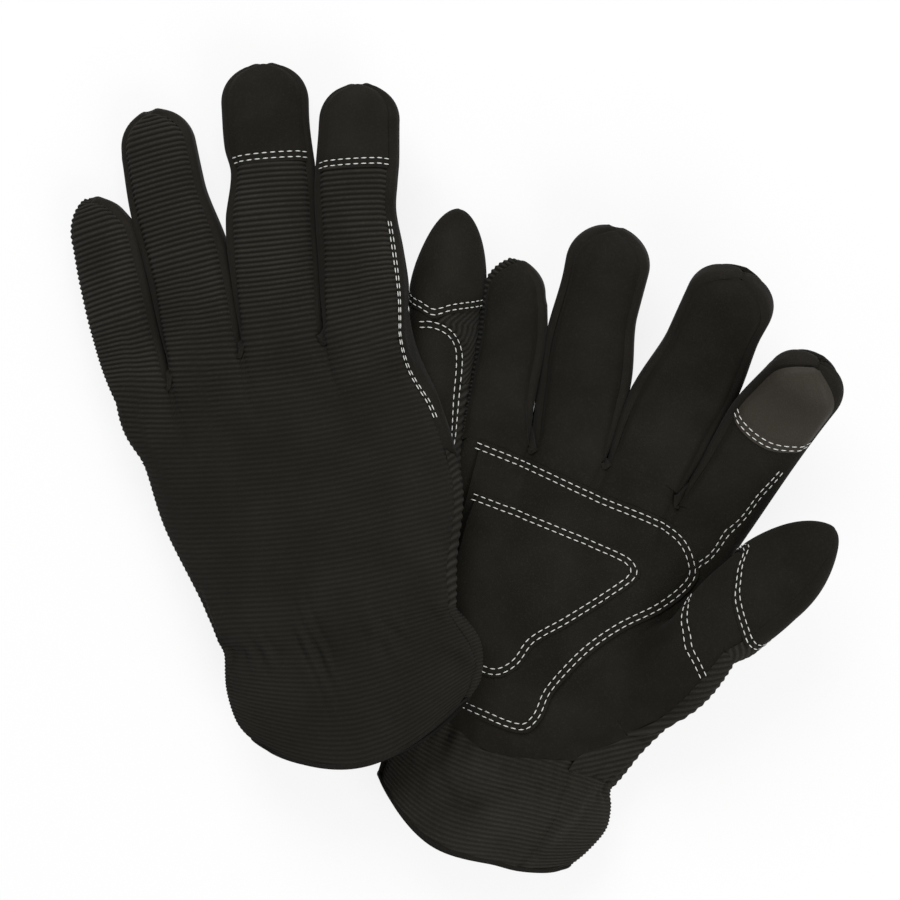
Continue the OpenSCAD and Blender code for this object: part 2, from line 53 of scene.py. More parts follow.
slope = {"left": 1.0, "right": 0.0}


def turned(side, p):
    x, y, z = p[..., 0], p[..., 1], p[..., 2]
    if side == "right":
        z = -z
    a = radians(lean[side])
    x, z = x*np.cos(a) - z*np.sin(a), x*np.sin(a) + z*np.cos(a)
    a = -radians(slope[side])
    y, z = y*np.cos(a) - z*np.sin(a), y*np.sin(a) + z*np.cos(a)
    a = radians(turn[side])
    return np.stack([x*np.cos(a) - y*np.sin(a), x*np.sin(a) + y*np.cos(a), z], -1)


def laid(side, p):
    return (turned(side, np.asarray(p, float)) + np.array(place[side]))*0.001


# The stalls: four fingers and a thumb, each a tapered sleeve with a round tip that curls to the palm.
# Their roots stand side by side in line with the hand, and the slits between them run further down on
# the back than on the palm. Neighbours lie against each other near their roots.
FINGERS = ("index", "middle", "ring", "pinky")
STALLS = FINGERS + ("thumb",)
stall_length = {"left": {"index": 87.5, "middle": 95.5, "ring": 89.5, "pinky": 69, "thumb": 61},
                "right": {"index": 85, "middle": 94, "ring": 89.5, "pinky": 71.5, "thumb": 57}}
root_width = {"index": 26.5, "middle": 27, "ring": 25, "pinky": 20, "thumb": 26}
tip_width = {"left": {"index": 29.5, "middle": 31.5, "ring": 27.5, "pinky": 23, "thumb": 21.5},
             "right": {"index": 29.5, "middle": 32.5, "ring": 31, "pinky": 24, "thumb": 24}}
root_depth = {"index": 22, "middle": 22, "ring": 22, "pinky": 22, "thumb": 20}
end_depth = {"index": 18, "middle": 18, "ring": 18, "pinky": 17, "thumb": 20}
tip_length = {"index": 15, "middle": 15, "ring": 15, "pinky": 15, "thumb": 30}
swell = {"index": 0, "middle": 0, "ring": 0, "pinky": 0, "thumb": 3}
slit_slant = 7.0
splay = {"left": {"index": 6, "middle": 3.4, "ring": -5.2, "pinky": -7, "thumb": 17.5},
         "right": {"index": 7, "middle": -0.5, "ring": -13.8, "pinky": -19.5, "thumb": 24.8}}
curl = {"left": {"index": 22, "middle": 18, "ring": 10, "pinky": 4, "thumb": 4},
        "right": {"index": 50, "middle": 42, "ring": 16, "pinky": 6, "thumb": 12}}
# How far each stall's back is turned to the thumb side, growing from nothing at a finger's root
roll = {"left": {"index": 6, "middle": 12, "ring": 3, "pinky": -2, "thumb": 60},
        "right": {"index": 0, "middle": 0, "ring": 6, "pinky": 8, "thumb": 14}}
hand_reach = {"left": 108.0, "right": 98.0}
web_gap = {"left": 3.0, "right": 1.2}
# How far along the finger its two sides lie against the neighbours: thumb side, pinky side
web_reach = {"left": {"index": (0, 0.6), "middle": (0.5, 0.3), "ring": (0.35, 0.65), "pinky": (0.9, 0)},
             "right": {"index": (0, 0.62), "middle": (0.48, 0.3), "ring": (0.35, 0.5), "pinky": (0.7, 0)}}
# How far a stall stands out on one side, the thumb side of the index finger and the thumb and the pinky side
# of the others: place along it, width
side_out = {"left": {"pinky": [(0, 0), (0.35, 3), (0.7, 2), (1, 0)],
                     "middle": [(0.5, 0), (0.68, -1.2), (0.8, 0.5), (1, 0.5)],
                     "index": [(0, 1.6), (0.15, 2.2), (0.35, 1.2), (0.55, -0.9), (0.7, -0.2), (0.8, 0.3), (1, 0)]},
            "right": {"pinky": [(0, 5.5), (0.35, 3.5), (0.8, 0)],
                      "thumb": [(0, 1.6), (0.25, 2.2), (0.6, 0.8), (1, 0)]}}
root = {
    "left": {"index": (27.75, 103, 0), "middle": (-2, 108, 0), "ring": (-31, 104, 0), "pinky": (-56.5, 97, 0),
             "thumb": (45, 79, -20)},
    "right": {"index": (25.95, 93, 0), "middle": (-2, 98, 0), "ring": (-29.2, 94, 0), "pinky": (-52.9, 87, 0),
              "thumb": (42, 65, -19)}}
finger_squareness = 2.3
root_squareness = 5.0


def lerp(a, b, t):
    return a + (b - a)*t


def smooth(t):
    u = np.clip(t, 0, 1)
    return u*u*(3 - 2*u)


def rounded(v, n):
    return np.sign(v)*np.abs(v)**(2/n)


def ahead_of(side, i):
    a = radians(splay[side][i])
    return np.array([np.sin(a), np.cos(a), 0])


def aside_of(side, i):
    a = radians(splay[side][i])
    return np.array([np.cos(a), -np.sin(a), 0])


def straight_part(side, i):
    return stall_length[side][i] - tip_length[i]


def along_stall(side, i, r):
    round_in = np.clip(r - 1, 0, 1)*np.pi/2
    return np.minimum(r, 1)*straight_part(side, i) + tip_length[i]*np.sin(round_in)


def apart(side, i, step):
    """Half the angle between a finger and its neighbour, as a slope."""
    near = FINGERS.index(i) + step
    if not 0 <= near < len(FINGERS):
        return 0.0
    return np.tan(radians(abs(splay[side][i] - splay[side][FINGERS[near]])/2))


def stall_point(side, i, a, r):
    """a is the angle round a stall, 0 at the thumb side and 90 on the back; r its row, past 1 round the tip."""
    a, r = np.broadcast_arrays(np.radians(np.asarray(a, float)), np.asarray(r, float))
    shrink = np.cos(np.clip(r - 1, 0, 1)*np.pi/2)
    along = along_stall(side, i, r)
    share = along/stall_length[side][i]
    half_w = lerp(root_width[i], tip_width[side][i], share)/2 + swell[i]*4*share*(1 - share)
    half_d = lerp(root_depth[i], end_depth[i], smooth(share*2))/2
    c, s = np.cos(a), np.sin(a)
    n = finger_squareness
    set_back = 0
    if i != "thumb":
        n = lerp(root_squareness, finger_squareness, smooth(r/0.4))
        spread = web_gap[side]/2
        to_thumb, to_pinky = web_reach[side][i]
        reach = np.where(c > 0, to_thumb, to_pinky)
        fill = spread - 0.25*smooth(r/0.08) + along*np.where(c > 0, apart(side, i, -1), apart(side, i, 1))
        half_w = half_w + np.where(reach > 0, fill*(1 - smooth((r - reach)/0.45)), 0)
        set_back = slit_slant*rounded(s, n)*np.maximum(0, 1 - 2*r)
    if i in side_out[side]:
        half_w = half_w + np.where((c < 0) == (i in ("middle", "pinky")), curve(side_out[side][i], r), 0)
    w = half_w*shrink*rounded(c, n)
    d = half_d*shrink*rounded(s, n)
    bend = radians(curl[side][i])*share
    radius = stall_length[side][i]/radians(curl[side][i])
    twist = radians(roll[side][i])*(1 if i == "thumb" else smooth(r/0.5))
    ahead, aside = ahead_of(side, i), aside_of(side, i)
    up = ahead*np.sin(bend)[..., None] + np.array([0, 0, 1])*np.cos(bend)[..., None]
    p = np.array(root[side][i]) + ahead*(radius*np.sin(bend))[..., None]
    p = p - np.stack([0*share, set_back + 0*share, radius*(1 - np.cos(bend))], -1)
    w, d = w*np.cos(twist) + d*np.sin(twist), d*np.cos(twist) - w*np.sin(twist)
    return p + aside*w[..., None] + up*d[..., None]


# The hand: one flat tube from the hem to the finger roots, drawn in at the wrist. Towards the roots its
# section turns from one wide oval into the four finger sections side by side, with dips between them.
cuff_length = {"left": 53.3, "right": 48.6}
hem_rise = {"left": 17.0, "right": 15.0}
# How far the hem waves up: place across it, height
hem_wave = {"left": [(-1, -0.5), (-0.5, 0.8), (0, 1.4), (0.5, 2.4), (0.85, 2.4), (1, 1.5)],
            "right": [(-1, 0), (-0.3, 0), (0.3, 3.0), (0.6, 1.4), (0.85, 0), (1, 0)]}
# Edges of the flat hand as shares of its length, negative along the cuff
pinky_edge = {"left": [(-1, -38.5), (-0.9, -42.4), (-0.75, -45), (-0.45, -46.4), (0, -46), (0.4, -58),
                       (0.67, -61.5), (1, -66.5)],
              "right": [(-1, -41), (-0.45, -43.5), (0, -43), (0.4, -55), (0.67, -59), (1, -68.4)]}
thumb_edge = {"left": [(-1, 40.5), (-0.8, 46), (-0.45, 48), (0, 42), (0.4, 52), (1, 42.6)],
              "right": [(-1, 35), (-0.75, 38.6), (-0.45, 40.7), (-0.2, 38.6), (0, 36.5), (0.4, 47), (1, 39.2)]}
palm_depth, knuckle_depth, wrist_depth, cuff_depth = 26.0, 22.0, 23.0, 21.0
hand_squareness = 2.4
knuckle_zone, root_zone, web_zone = 34.0, 45.0, 25.0
back_seam, front_seam = 35.0, 35.0


def curve(points, x):
    """Smooth curve through points with rising places, level beyond its ends."""
    px, py = np.array(points, float).T
    x = np.clip(x, px[0], px[-1])
    slopes = np.array([(py[min(k + 1, len(px) - 1)] - py[max(k - 1, 0)])
                       / (px[min(k + 1, len(px) - 1)] - px[max(k - 1, 0)]) for k in range(len(px))])
    k = np.clip(np.searchsorted(px, x, side="right") - 1, 0, len(px) - 2)
    w = px[k + 1] - px[k]
    t = (x - px[k])/w
    return (py[k]*(1 + 2*t)*(1 - t)**2 + slopes[k]*w*t*(1 - t)**2
            + py[k + 1]*t*t*(3 - 2*t) + slopes[k + 1]*w*t*t*(t - 1))


def hand_edges(side, y):
    share = np.where(y < 0, y/cuff_length[side], y/hand_reach[side])
    return curve(pinky_edge[side], share), curve(thumb_edge[side], share)


def hand_angle(side, x, y, back):
    """Angle round the hand's section of a place seen from above, on the back or on the palm."""
    low, high = hand_edges(side, y)
    across = np.clip((2*x - low - high)/(high - low), -1, 1)
    a = np.degrees(np.arccos(np.sign(across)*np.abs(across)**(hand_squareness/2)))
    return a if back else 360 - a


knuckles = {}
for side in SIDES:
    back_end, front_start, front_end = 180 - back_seam, 180 + front_seam, 360 - front_seam
    chain = [("index", 0, back_end), ("middle", back_seam, back_end), ("ring", back_seam, back_end),
             ("pinky", back_seam, 180), ("pinky", 180, front_end), ("ring", front_start, front_end),
             ("middle", front_start, front_end), ("index", front_start, 360)]
    rows = []
    for i, start, stop in chain:
        a = np.linspace(start, stop, 60)
        p = stall_point(side, i, a, np.zeros(60))
        rows.append(np.column_stack([hand_angle(side, p[:, 0], hand_reach[side], stop <= 180), p]))
    table = np.concatenate(rows)
    table[:, 0] = np.maximum.accumulate(table[:, 0])
    knuckles[side] = table


def hand_point(side, a, y):
    a, y = np.broadcast_arrays(np.asarray(a, float), np.asarray(y, float))
    low, high = hand_edges(side, y)
    reach = hand_reach[side]
    half_d = curve([(-cuff_length[side], cuff_depth/2), (0, wrist_depth/2), (0.45*reach, palm_depth/2),
                    (reach, knuckle_depth/2)], y)
    t = np.radians(a)
    across = rounded(np.cos(t), hand_squareness)
    x = (low + high)/2 + (high - low)/2*across
    z = half_d*rounded(np.sin(t), hand_squareness)
    table = knuckles[side]
    top = [np.interp(np.mod(a, 360), table[:, 0], table[:, k]) for k in (1, 2, 3)]
    hem = np.where(y < 0, (hem_rise[side]*across**2 + curve(hem_wave[side], across))*(-y/cuff_length[side]), 0)
    up = smooth((y/reach - 0.45)/0.55)
    into = smooth((y - reach + knuckle_zone)/knuckle_zone)
    return np.stack([lerp(x, top[0], into), y + hem + (top[1] - reach)*up, lerp(z, top[2], into)], -1)


# The back panel: stretch knit with raised ribs that run across the hand, one piece from the hem to the
# fingers. It is sewn to the palm along the pinky edge and to the thumb piece along the other edge, and
# an elastic gathers it at the wrist. The ribs are raised by geometry nodes along the cloth's own normals.
rib_pitch = 1.82
rib_height = 0.6
rib_samples = 6
knit_thickness = 1.3
hem_width = 2.0
thumb_seam_line = [(-52, 17), (0, 18), (35, 16), (70, 20), (100, 20)]
index_seam = 42.0
pinky_seam_angle = 196.0
seam_depth = 0.9
seam_width = 1.5
elastic_line = (-9.5, 6.0)
# How far the ribs drop on their way across the back: place across it, drop
rib_drop = [(-65, -8.3), (-45, -4.3), (0, 0), (40, -1.3), (50, -2.2)]
# Painted light on the knit: how strongly the painted shade in the rib grooves and highlight on the crests show on the
# flat back and at the fingers, and how light the back's knit is painted where they show less
flat_shade_contrast, finger_shade_contrast, back_painted_light, shade_contrast_zone = 0.2, 0.45, 0.2, 30.0
# Lasting creases: a line over the hand, its height and its width
back_creases = {"left": [([(-44.6, 24.8), (-43.7, 13.8), (-40, -3.2)], 2.2, 2.2),
                         ([(48.2, 21.6), (42.8, 6.2), (33, -6.7)], 1.6, 2.2),
                         ([(33.4, -8.5), (42.9, -18.1), (49, -29.4)], 1.6, 2.2),
                         ([(-22.6, 6.5), (-20.3, -2.9)], 0.8, 2.0)],
                "right": []}


def grid_normal(p):
    n = np.cross(np.gradient(p, axis=0), np.gradient(p, axis=1))
    return n/np.maximum(np.linalg.norm(n, axis=-1, keepdims=True), 1e-9)


def grid_lengths(p):
    """Distance of each point from the first column and from the last one, along its row."""
    step = np.linalg.norm(np.diff(p, axis=1), axis=-1)
    run = np.concatenate([np.zeros((len(p), 1)), np.cumsum(step, 1)], 1)
    return run, run[:, -1:] - run


def seam_dip(first, last):
    """Cloth turned in at its two long edges: a groove at the seam and a soft roll beside it."""
    dip = 0
    for d in (first, last):
        if d is not None:
            dip = dip - seam_depth*np.exp(-(d/seam_width)**2) + 0.22*np.exp(-((d - 3.2)/1.6)**2)
    return dip


def ripple(u, v, seed):
    """Soft uneven waves, as in loose cloth, from -1 to 1."""
    rng = np.random.default_rng(seed)
    out = 0
    for _ in range(7):
        kx, ky = rng.normal(size=2)
        out = out + np.sin(kx*u + ky*v + rng.uniform(0, 6.28))
    return out/5


def gathers(a, y):
    """Puckers that the wrist elastic draws into the cloth above and below it, and the slack beside them."""
    turn_at = np.radians(a)
    across = rounded(np.cos(turn_at), hand_squareness)
    off = y - elastic_line[0] - elastic_line[1]*across**2
    spot = across + 0.25*np.sin(turn_at)
    waves = np.sin(spot*44 + 2.2*np.sin(spot*6) + 0.22*off)
    waves = waves + 0.7*np.sin(spot*27 + 1.7*np.sin(spot*9 + 1) - 0.12*off)
    length = 9 + 4*np.sin(spot*7 + 0.6) + 3*np.sin(spot*13)
    return 0.8*waves*np.exp(-np.abs(off/length)**1.4) - 0.7*np.exp(-(off/5)**2) + 0.5*np.exp(-((off - 11)/6)**2)


def even_path(points, count):
    """Smooth line through points, cut into equal steps."""
    p = np.array(points, float)
    for n in (600, count):
        s = np.append(0, np.cumsum(np.linalg.norm(np.diff(p, axis=0), axis=1)))
        at = np.linspace(0, s[-1], n)
        if n == 600:
            p = np.column_stack([curve(np.column_stack([s, p[:, k]]), at) for k in range(p.shape[1])])
        else:
            p = np.column_stack([np.interp(at, s, p[:, k]) for k in range(p.shape[1])])
    return p


def nearest(p, line):
    """Distance of flat places from a line."""
    return np.min(np.linalg.norm(p[..., None, :] - line, axis=-1), -1)


def creased(p, creases):
    """Height of the creases over places on the hand, fading to their ends."""
    height = np.zeros(p.shape[:-1])
    for points, rise, width in creases:
        line = even_path(points, 40)
        off = np.linalg.norm(p[..., None, :2] - line, axis=-1)
        k = np.argmin(off, -1)
        height = height + rise*np.exp(-(np.min(off, -1)/width)**2)*np.sin(np.pi*(k + 3)/46)
    return height


def cloth_mesh(name, side, grids, thickness, every=1, smooth_angle=55):
    """Closed panels: an outer grid of points in the glove's frame, a lining under it and the edges between."""
    verts, faces, uvs, ribs, lifts, shade_contrasts, painted_light_levels = [], [], [], [], [], [], []
    for g in grids:
        p, n = g["points"], g["normals"]
        rows, cols = p.shape[:2]
        keep = np.unique(np.append(np.arange(0, rows, every), rows - 1))
        under = p[keep] - n[keep]*thickness
        base = sum(len(v) for v in verts)
        low = base + rows*cols
        verts += [laid(side, p).reshape(-1, 3), laid(side, under).reshape(-1, 3)]
        flat = g["flat"]
        uvs += [flat.reshape(-1, 2), flat[keep].reshape(-1, 2)]
        ribs += [flat[..., 1].reshape(-1), flat[keep][..., 1].reshape(-1)]
        shade_contrast, pale = (v + np.zeros((rows, cols)) for v in g["rib_shading"])
        # The ribs' raised height follows the strength of the painted rib shading
        lifts += [(turned(side, n)*shade_contrast[..., None]**0.5).reshape(-1, 3), np.zeros((len(keep)*cols, 3))]
        shade_contrasts += [shade_contrast.reshape(-1), shade_contrast[keep].reshape(-1)]
        painted_light_levels += [pale.reshape(-1), pale[keep].reshape(-1)]
        idx = base + np.arange(rows*cols).reshape(rows, cols)
        inn = low + np.arange(len(keep)*cols).reshape(len(keep), cols)
        quads = [np.stack([idx[:-1, :-1], idx[1:, :-1], idx[1:, 1:], idx[:-1, 1:]], -1).reshape(-1, 4),
                 np.stack([inn[:-1, :-1], inn[:-1, 1:], inn[1:, 1:], inn[1:, :-1]], -1).reshape(-1, 4),
                 np.stack([idx[0, :-1], idx[0, 1:], inn[0, 1:], inn[0, :-1]], -1),
                 np.stack([idx[-1, :-1], inn[-1, :-1], inn[-1, 1:], idx[-1, 1:]], -1)]
        made = np.concatenate(quads).tolist()
        for c, out in ((0, 1), (cols - 1, 0)):
            for k in range(len(keep) - 1):
                a, b = keep[k], keep[k + 1]
                half = (a + b)//2
                strip = [[idx[j, c], inn[k if j < half else k + 1, c], idx[j + 1, c]] for j in range(a, b)]
                strip.append([idx[half, c], inn[k, c], inn[k + 1, c]])
                made += [s if out else s[::-1] for s in strip]
        faces += made
    if side == "right":
        faces = [f[::-1] for f in faces]
    mesh = bpy.data.meshes.new(name)
    verts = np.concatenate(verts)
    mesh.from_pydata(verts.tolist(), [], faces)
    mesh.polygons.foreach_set("use_smooth", np.ones(len(faces), bool))
    mesh.set_sharp_from_angle(angle=radians(smooth_angle))
    corner = np.zeros(len(mesh.loops), int)
    mesh.loops.foreach_get("vertex_index", corner)
    uvs = (np.concatenate(uvs)*0.01)[corner]
    mesh.uv_layers.new(name="cloth").data.foreach_set("uv", uvs.astype(np.float32).ravel())
    # Per point attributes for the knit's colour: place between the ribs, strength of the painted rib shading and
    # painted light level
    for label, values in (("rib", ribs), ("rib_shade_contrast", shade_contrasts), ("rib_painted_light", painted_light_levels)):
        values = np.concatenate(values).astype(np.float32)
        mesh.attributes.new(label, "FLOAT", "POINT").data.foreach_set("value", values)
    mesh.attributes.new("lift", "FLOAT_VECTOR", "POINT").data.foreach_set(
        "vector", np.concatenate(lifts).astype(np.float32).ravel())
    obj = bpy.data.objects.new(name, mesh)
    bpy.context.collection.objects.link(obj)
    return obj


# The last two values are the strength of the painted rib shading on knit and its painted light level where that shading
# shows less
def cloth_grid(points, height, flat, shade_contrast=1.0, pale=0.0):
    points = points + grid_normal(points)*np.asarray(height)[..., None]
    return {"points": points, "normals": grid_normal(points), "flat": flat, "rib_shading": (shade_contrast, pale)}


def new_group(name, kind, inputs, outputs):
    tree = bpy.data.node_groups.new(name, kind)
    for way, sockets in (("INPUT", inputs), ("OUTPUT", outputs)):
        for label, socket in sockets:
            tree.interface.new_socket(label, in_out=way, socket_type="NodeSocket" + socket)
    return tree, tree.nodes.new("NodeGroupInput"), tree.nodes.new("NodeGroupOutput")


def add_node(tree, kind, inputs=(), **settings):
    """A node with its settings, and its inputs given as values or as other nodes' outputs."""
    node = tree.nodes.new(kind)
    for name, value in settings.items():
        setattr(node, name, value)
    for label, value in dict(inputs).items():
        if isinstance(value, bpy.types.NodeSocket):
            tree.links.new(value, node.inputs[label])
        else:
            node.inputs[label].default_value = value
    return node


def math(tree, operation, *inputs):
    return add_node(tree, "ShaderNodeMath", enumerate(inputs), operation=operation).outputs[0]


ribbing, given, made = new_group("rib_knit", "GeometryNodeTree",
                                 [("Geometry", "Geometry"), ("Pitch", "Float"), ("Height", "Float"),
                                  ("Material", "Material")], [("Geometry", "Geometry")])
rib_place = add_node(ribbing, "GeometryNodeInputNamedAttribute", {"Name": "rib"}, data_type="FLOAT")
lift_way = add_node(ribbing, "GeometryNodeInputNamedAttribute", {"Name": "lift"}, data_type="FLOAT_VECTOR")
phase = math(ribbing, "DIVIDE", rib_place.outputs["Attribute"], given.outputs["Pitch"])
wave = math(ribbing, "ABSOLUTE", math(ribbing, "COSINE", math(ribbing, "MULTIPLY", phase, np.pi)))
crest = math(ribbing, "SUBTRACT", math(ribbing, "POWER", wave, 2.0), 0.4)
rise = math(ribbing, "MULTIPLY", crest, given.outputs["Height"])
shift = add_node(ribbing, "ShaderNodeVectorMath", {0: lift_way.outputs["Attribute"], "Scale": rise}, operation="SCALE")
raised = add_node(ribbing, "GeometryNodeSetPosition",
                  {"Geometry": given.outputs["Geometry"], "Offset": shift.outputs[0]})
finish = add_node(ribbing, "GeometryNodeSetMaterial",
                  {"Geometry": raised.outputs[0], "Material": given.outputs["Material"]})
ribbing.links.new(finish.outputs[0], made.inputs[0])


def run_tree(obj, tree, values):
    """Runs a geometry tree on an object and keeps its result as a plain mesh."""
    mod = obj.modifiers.new(tree.name, "NODES")
    mod.node_group = tree
    for item in tree.interface.items_tree:
        if item.in_out == "INPUT" and item.name in values:
            mod[item.identifier] = values[item.name]
    bpy.context.view_layer.update()
    graph = bpy.context.evaluated_depsgraph_get()
    mesh = bpy.data.meshes.new_from_object(obj.evaluated_get(graph))
    obj.modifiers.remove(mod)
    return mesh


def rib_up(obj, material, height=rib_height):
    mesh = run_tree(obj, ribbing, {"Pitch": rib_pitch, "Height": height*0.001, "Material": material})
    old = obj.data
    obj.data = mesh
    bpy.data.meshes.remove(old)
    mesh.name = obj.name
    for extra in ("rib", "lift"):
        mesh.attributes.remove(mesh.attributes[extra])
    return obj


def new_material(name, colour, roughness, specular):
    mat = bpy.data.materials.new(name)
    mat.use_nodes = True
    tree = mat.node_tree
    shader = tree.nodes["Principled BSDF"]
    shader.inputs["Base Color"].default_value = (*colour, 1)
    shader.inputs["Roughness"].default_value = roughness
    shader.inputs["Specular IOR Level"].default_value = specular
    return mat, tree, shader


# Uneven dye and lint: the same soft blotches and pale specks on every cloth of the glove
dye, given, out = new_group("uneven_dye", "ShaderNodeTree",
                            [("Place", "Vector"), ("Colour", "Color"), ("Pale", "Color")], [("Colour", "Color")])
share = None
for scale, detail, low, high, weight in ((45, 3, 0.35, 0.7, 0.45), (1400, 2, 0.5, 0.75, 0.4)):
    noise = add_node(dye, "ShaderNodeTexNoise", {"Vector": given.outputs["Place"], "Scale": scale, "Detail": detail})
    patchy = add_node(dye, "ShaderNodeMapRange", {"Value": noise.outputs["Fac"], "From Min": low, "From Max": high})
    part = math(dye, "MULTIPLY", patchy.outputs[0], weight)
    share = part if share is None else math(dye, "ADD", share, part)
mix = add_node(dye, "ShaderNodeMix", {0: share, 6: given.outputs["Colour"], 7: given.outputs["Pale"]}, data_type="RGBA")
dye.links.new(mix.outputs[2], out.inputs["Colour"])


def dyed(tree, shader, colour, pale):
    spot = add_node(tree, "ShaderNodeTexCoord")
    group = add_node(tree, "ShaderNodeGroup", {"Place": spot.outputs["Object"], "Colour": (*colour, 1),
                                               "Pale": (*pale, 1)}, node_tree=dye)
    tree.links.new(group.outputs["Colour"], shader.inputs["Base Color"])
    return group


def bumped(tree, shader, height, strength, distance):
    bump = add_node(tree, "ShaderNodeBump", {"Strength": strength, "Distance": distance, "Height": height})
    tree.links.new(bump.outputs["Normal"], shader.inputs["Normal"])


# Painted shade and highlight on the knit: its colour paints shade into the grooves between the ribs and a highlight on
# their crests, broken by the knit loops.
knit, tree, shader = new_material("ribbed_knit", (0.014, 0.0131, 0.0106), 0.85, 0.05)
group = dyed(tree, shader, (0.025, 0.0232, 0.0188), (0.055, 0.0508, 0.0425))
shader.inputs["Sheen Weight"].default_value = 0.02
shader.inputs["Sheen Roughness"].default_value = 0.5
uv = add_node(tree, "ShaderNodeUVMap", uv_map="cloth")
loops = add_node(tree, "ShaderNodeTexWave", {"Vector": uv.outputs["UV"], "Scale": 73, "Distortion": 1.2, "Detail": 2,
                                             "Detail Scale": 2}, wave_type="BANDS", bands_direction="X")
flat_place = add_node(tree, "ShaderNodeSeparateXYZ", {0: uv.outputs["UV"]})
phase = math(tree, "MULTIPLY", flat_place.outputs["Y"], 100*np.pi/rib_pitch)
crest_light = math(tree, "ABSOLUTE", math(tree, "COSINE", phase))
loop_tone = math(tree, "ADD", math(tree, "MULTIPLY", loops.outputs["Fac"], 0.4), 0.8)
crest_light = math(tree, "MULTIPLY", math(tree, "POWER", crest_light, 2.2), loop_tone)
# Per point: how strongly the painted rib shading shows, and the painted light level where it shows less
shade_contrast = add_node(tree, "ShaderNodeAttribute", attribute_name="rib_shade_contrast")
pale = add_node(tree, "ShaderNodeAttribute", attribute_name="rib_painted_light")
crest_light = math(tree, "ADD", math(tree, "MULTIPLY", crest_light, shade_contrast.outputs["Fac"]),
             math(tree, "MULTIPLY", math(tree, "SUBTRACT", 1.0, shade_contrast.outputs["Fac"]), pale.outputs["Fac"]))
# Painted groove shade colour in the grooves, mixed to the dyed colour on the crests
groove = add_node(tree, "ShaderNodeMix", {0: crest_light, 6: (0.008, 0.0075, 0.006, 1), 7: group.outputs["Colour"]},
                  data_type="RGBA")
tree.links.new(groove.outputs[2], shader.inputs["Base Color"])
bumped(tree, shader, loops.outputs["Fac"], 0.5, 0.0003)


def thumb_seam(y):
    return curve(thumb_seam_line, y)


def on_hand(obj, side, node):
    """Joins a piece to the hand, in the place of one of the frame's nodes."""
    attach(obj, side + "_hand")
    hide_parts(side + node)


def back_columns():
    """Columns of the back panel, each a finger and an angle round its root."""
    cols = []
    for i in FINGERS:
        stop = 180 + front_seam if i == "pinky" else 180 - back_seam
        start = index_seam if i == "index" else back_seam
        cols += [(i, a) for a in np.linspace(start, stop, 38 if i == "pinky" else 26)]
    return cols


def root_angles(side, cols):
    """Angle round the hand of each column, where it meets the finger's root."""
    out = []
    for i, a in cols:
        p = stall_point(side, i, a, 0.0)
        out.append(float(hand_angle(side, p[0], hand_reach[side], np.sin(np.radians(a)) >= 0)))
    return np.maximum.accumulate(np.array(out))


def flat_rows(points, along=None):
    """Places on the flat cloth: the distance along each row, and the place between the ribs."""
    run, _ = grid_lengths(points)
    return np.stack([run - run.mean(1, keepdims=True), points[..., 1] if along is None else along], -1)


def to_angles(top, first, last):
    """Spreads the columns' angles at the roots between a row's own first and last angle."""
    return first + (top - top[0])/(top[-1] - top[0])*(last - first)


for side in SIDES:
    cols = back_columns()
    top = root_angles(side, cols)
    rows = np.arange(hem_width - cuff_length[side], hand_reach[side], rib_pitch/rib_samples)
    y = np.append(rows, hand_reach[side])[:, None]
    ease = smooth((y - hand_reach[side] + root_zone)/root_zone)
    first = lerp(thumb_seam(y), top[0], ease)
    last = lerp(pinky_seam_angle, top[-1], ease)
    a = to_angles(top, first, last)
    p = hand_point(side, a, y)
    run, rest = grid_lengths(p)
    height = gathers(a, y) + seam_dip(run, rest) + creased(p, back_creases[side])
    height = height + 0.5*ripple(p[..., 0]/14, p[..., 1]/18, 3)*(1 - ease)
    ribs_at = np.where(y < 0, y, p[..., 1]) + curve(rib_drop, p[..., 0])
    # Painted rib shading grows stronger towards the fingers
    shade_contrast = lerp(flat_shade_contrast, finger_shade_contrast, smooth((y - hand_reach[side] + shade_contrast_zone)/shade_contrast_zone))
    grid = cloth_grid(p, height, flat_rows(p, ribs_at), shade_contrast, back_painted_light)
    panel = cloth_mesh(side + "_hand_back", side, [grid], knit_thickness, every=rib_samples)
    rib_up(panel, knit)
    on_hand(panel, side, "_back_panel")


# The palm panel: one piece of synthetic suede from the wrist to the finger roots, sewn to the knit along
# the pinky edge and cut away round the thumb. It lies smooth, with soft creases below the fingers.
leather_thickness = 1.2
# Lower edge of the leather: share of the way from the pinky seam to the cuff's seam, place along the hand
leather_edge = {"left": [(0, -6), (1, -6)],
                "right": [(0, -3), (0.25, -5), (0.454, -6.3), (0.62, -8.5), (0.77, -4.5), (0.98, 1.9), (1, 2.5)]}
cuff_seam_angle = 301.0
palm_creases = {"left": [], "right": [([(7.9, 6.2), (22.2, 14.4), (26.4, 18.8), (38.2, 34.5)], 1.6, 1.8),
                              ([(-13.9, 110.4), (-9.4, 107.8), (-4.0, 105.7), (8.4, 99.0)], 0.8, 1.6),
                              ([(7.3, 108.4), (9.7, 104.4), (15.7, 97.0)], -0.8, 2.4)]}
thumb_hole_at = {"left": 46.0, "right": 41.7}
thumb_hole_half = {"left": 25.0, "right": 22.7}
hole_turn, hole_spread = -40.0, 27.0
index_web_edge = 287.0


def grained(tree, shader, scale, detail, strength, distance):
    """Fine grain or nap on a cloth, as a bump."""
    spot = add_node(tree, "ShaderNodeTexCoord")
    grain = add_node(tree, "ShaderNodeTexNoise", {"Vector": spot.outputs["Object"], "Scale": scale, "Detail": detail})
    bumped(tree, shader, grain.outputs["Fac"], strength, distance)


suede, tree, shader = new_material("synthetic_suede", (0.0125, 0.0116, 0.0093), 0.9, 0.05)
dyed(tree, shader, (0.0095, 0.0088, 0.0068), (0.0205, 0.019, 0.0152))
shader.inputs["Sheen Weight"].default_value = 0.03
shader.inputs["Sheen Roughness"].default_value = 0.4
grained(tree, shader, 2600, 4, 0.55, 0.0004)


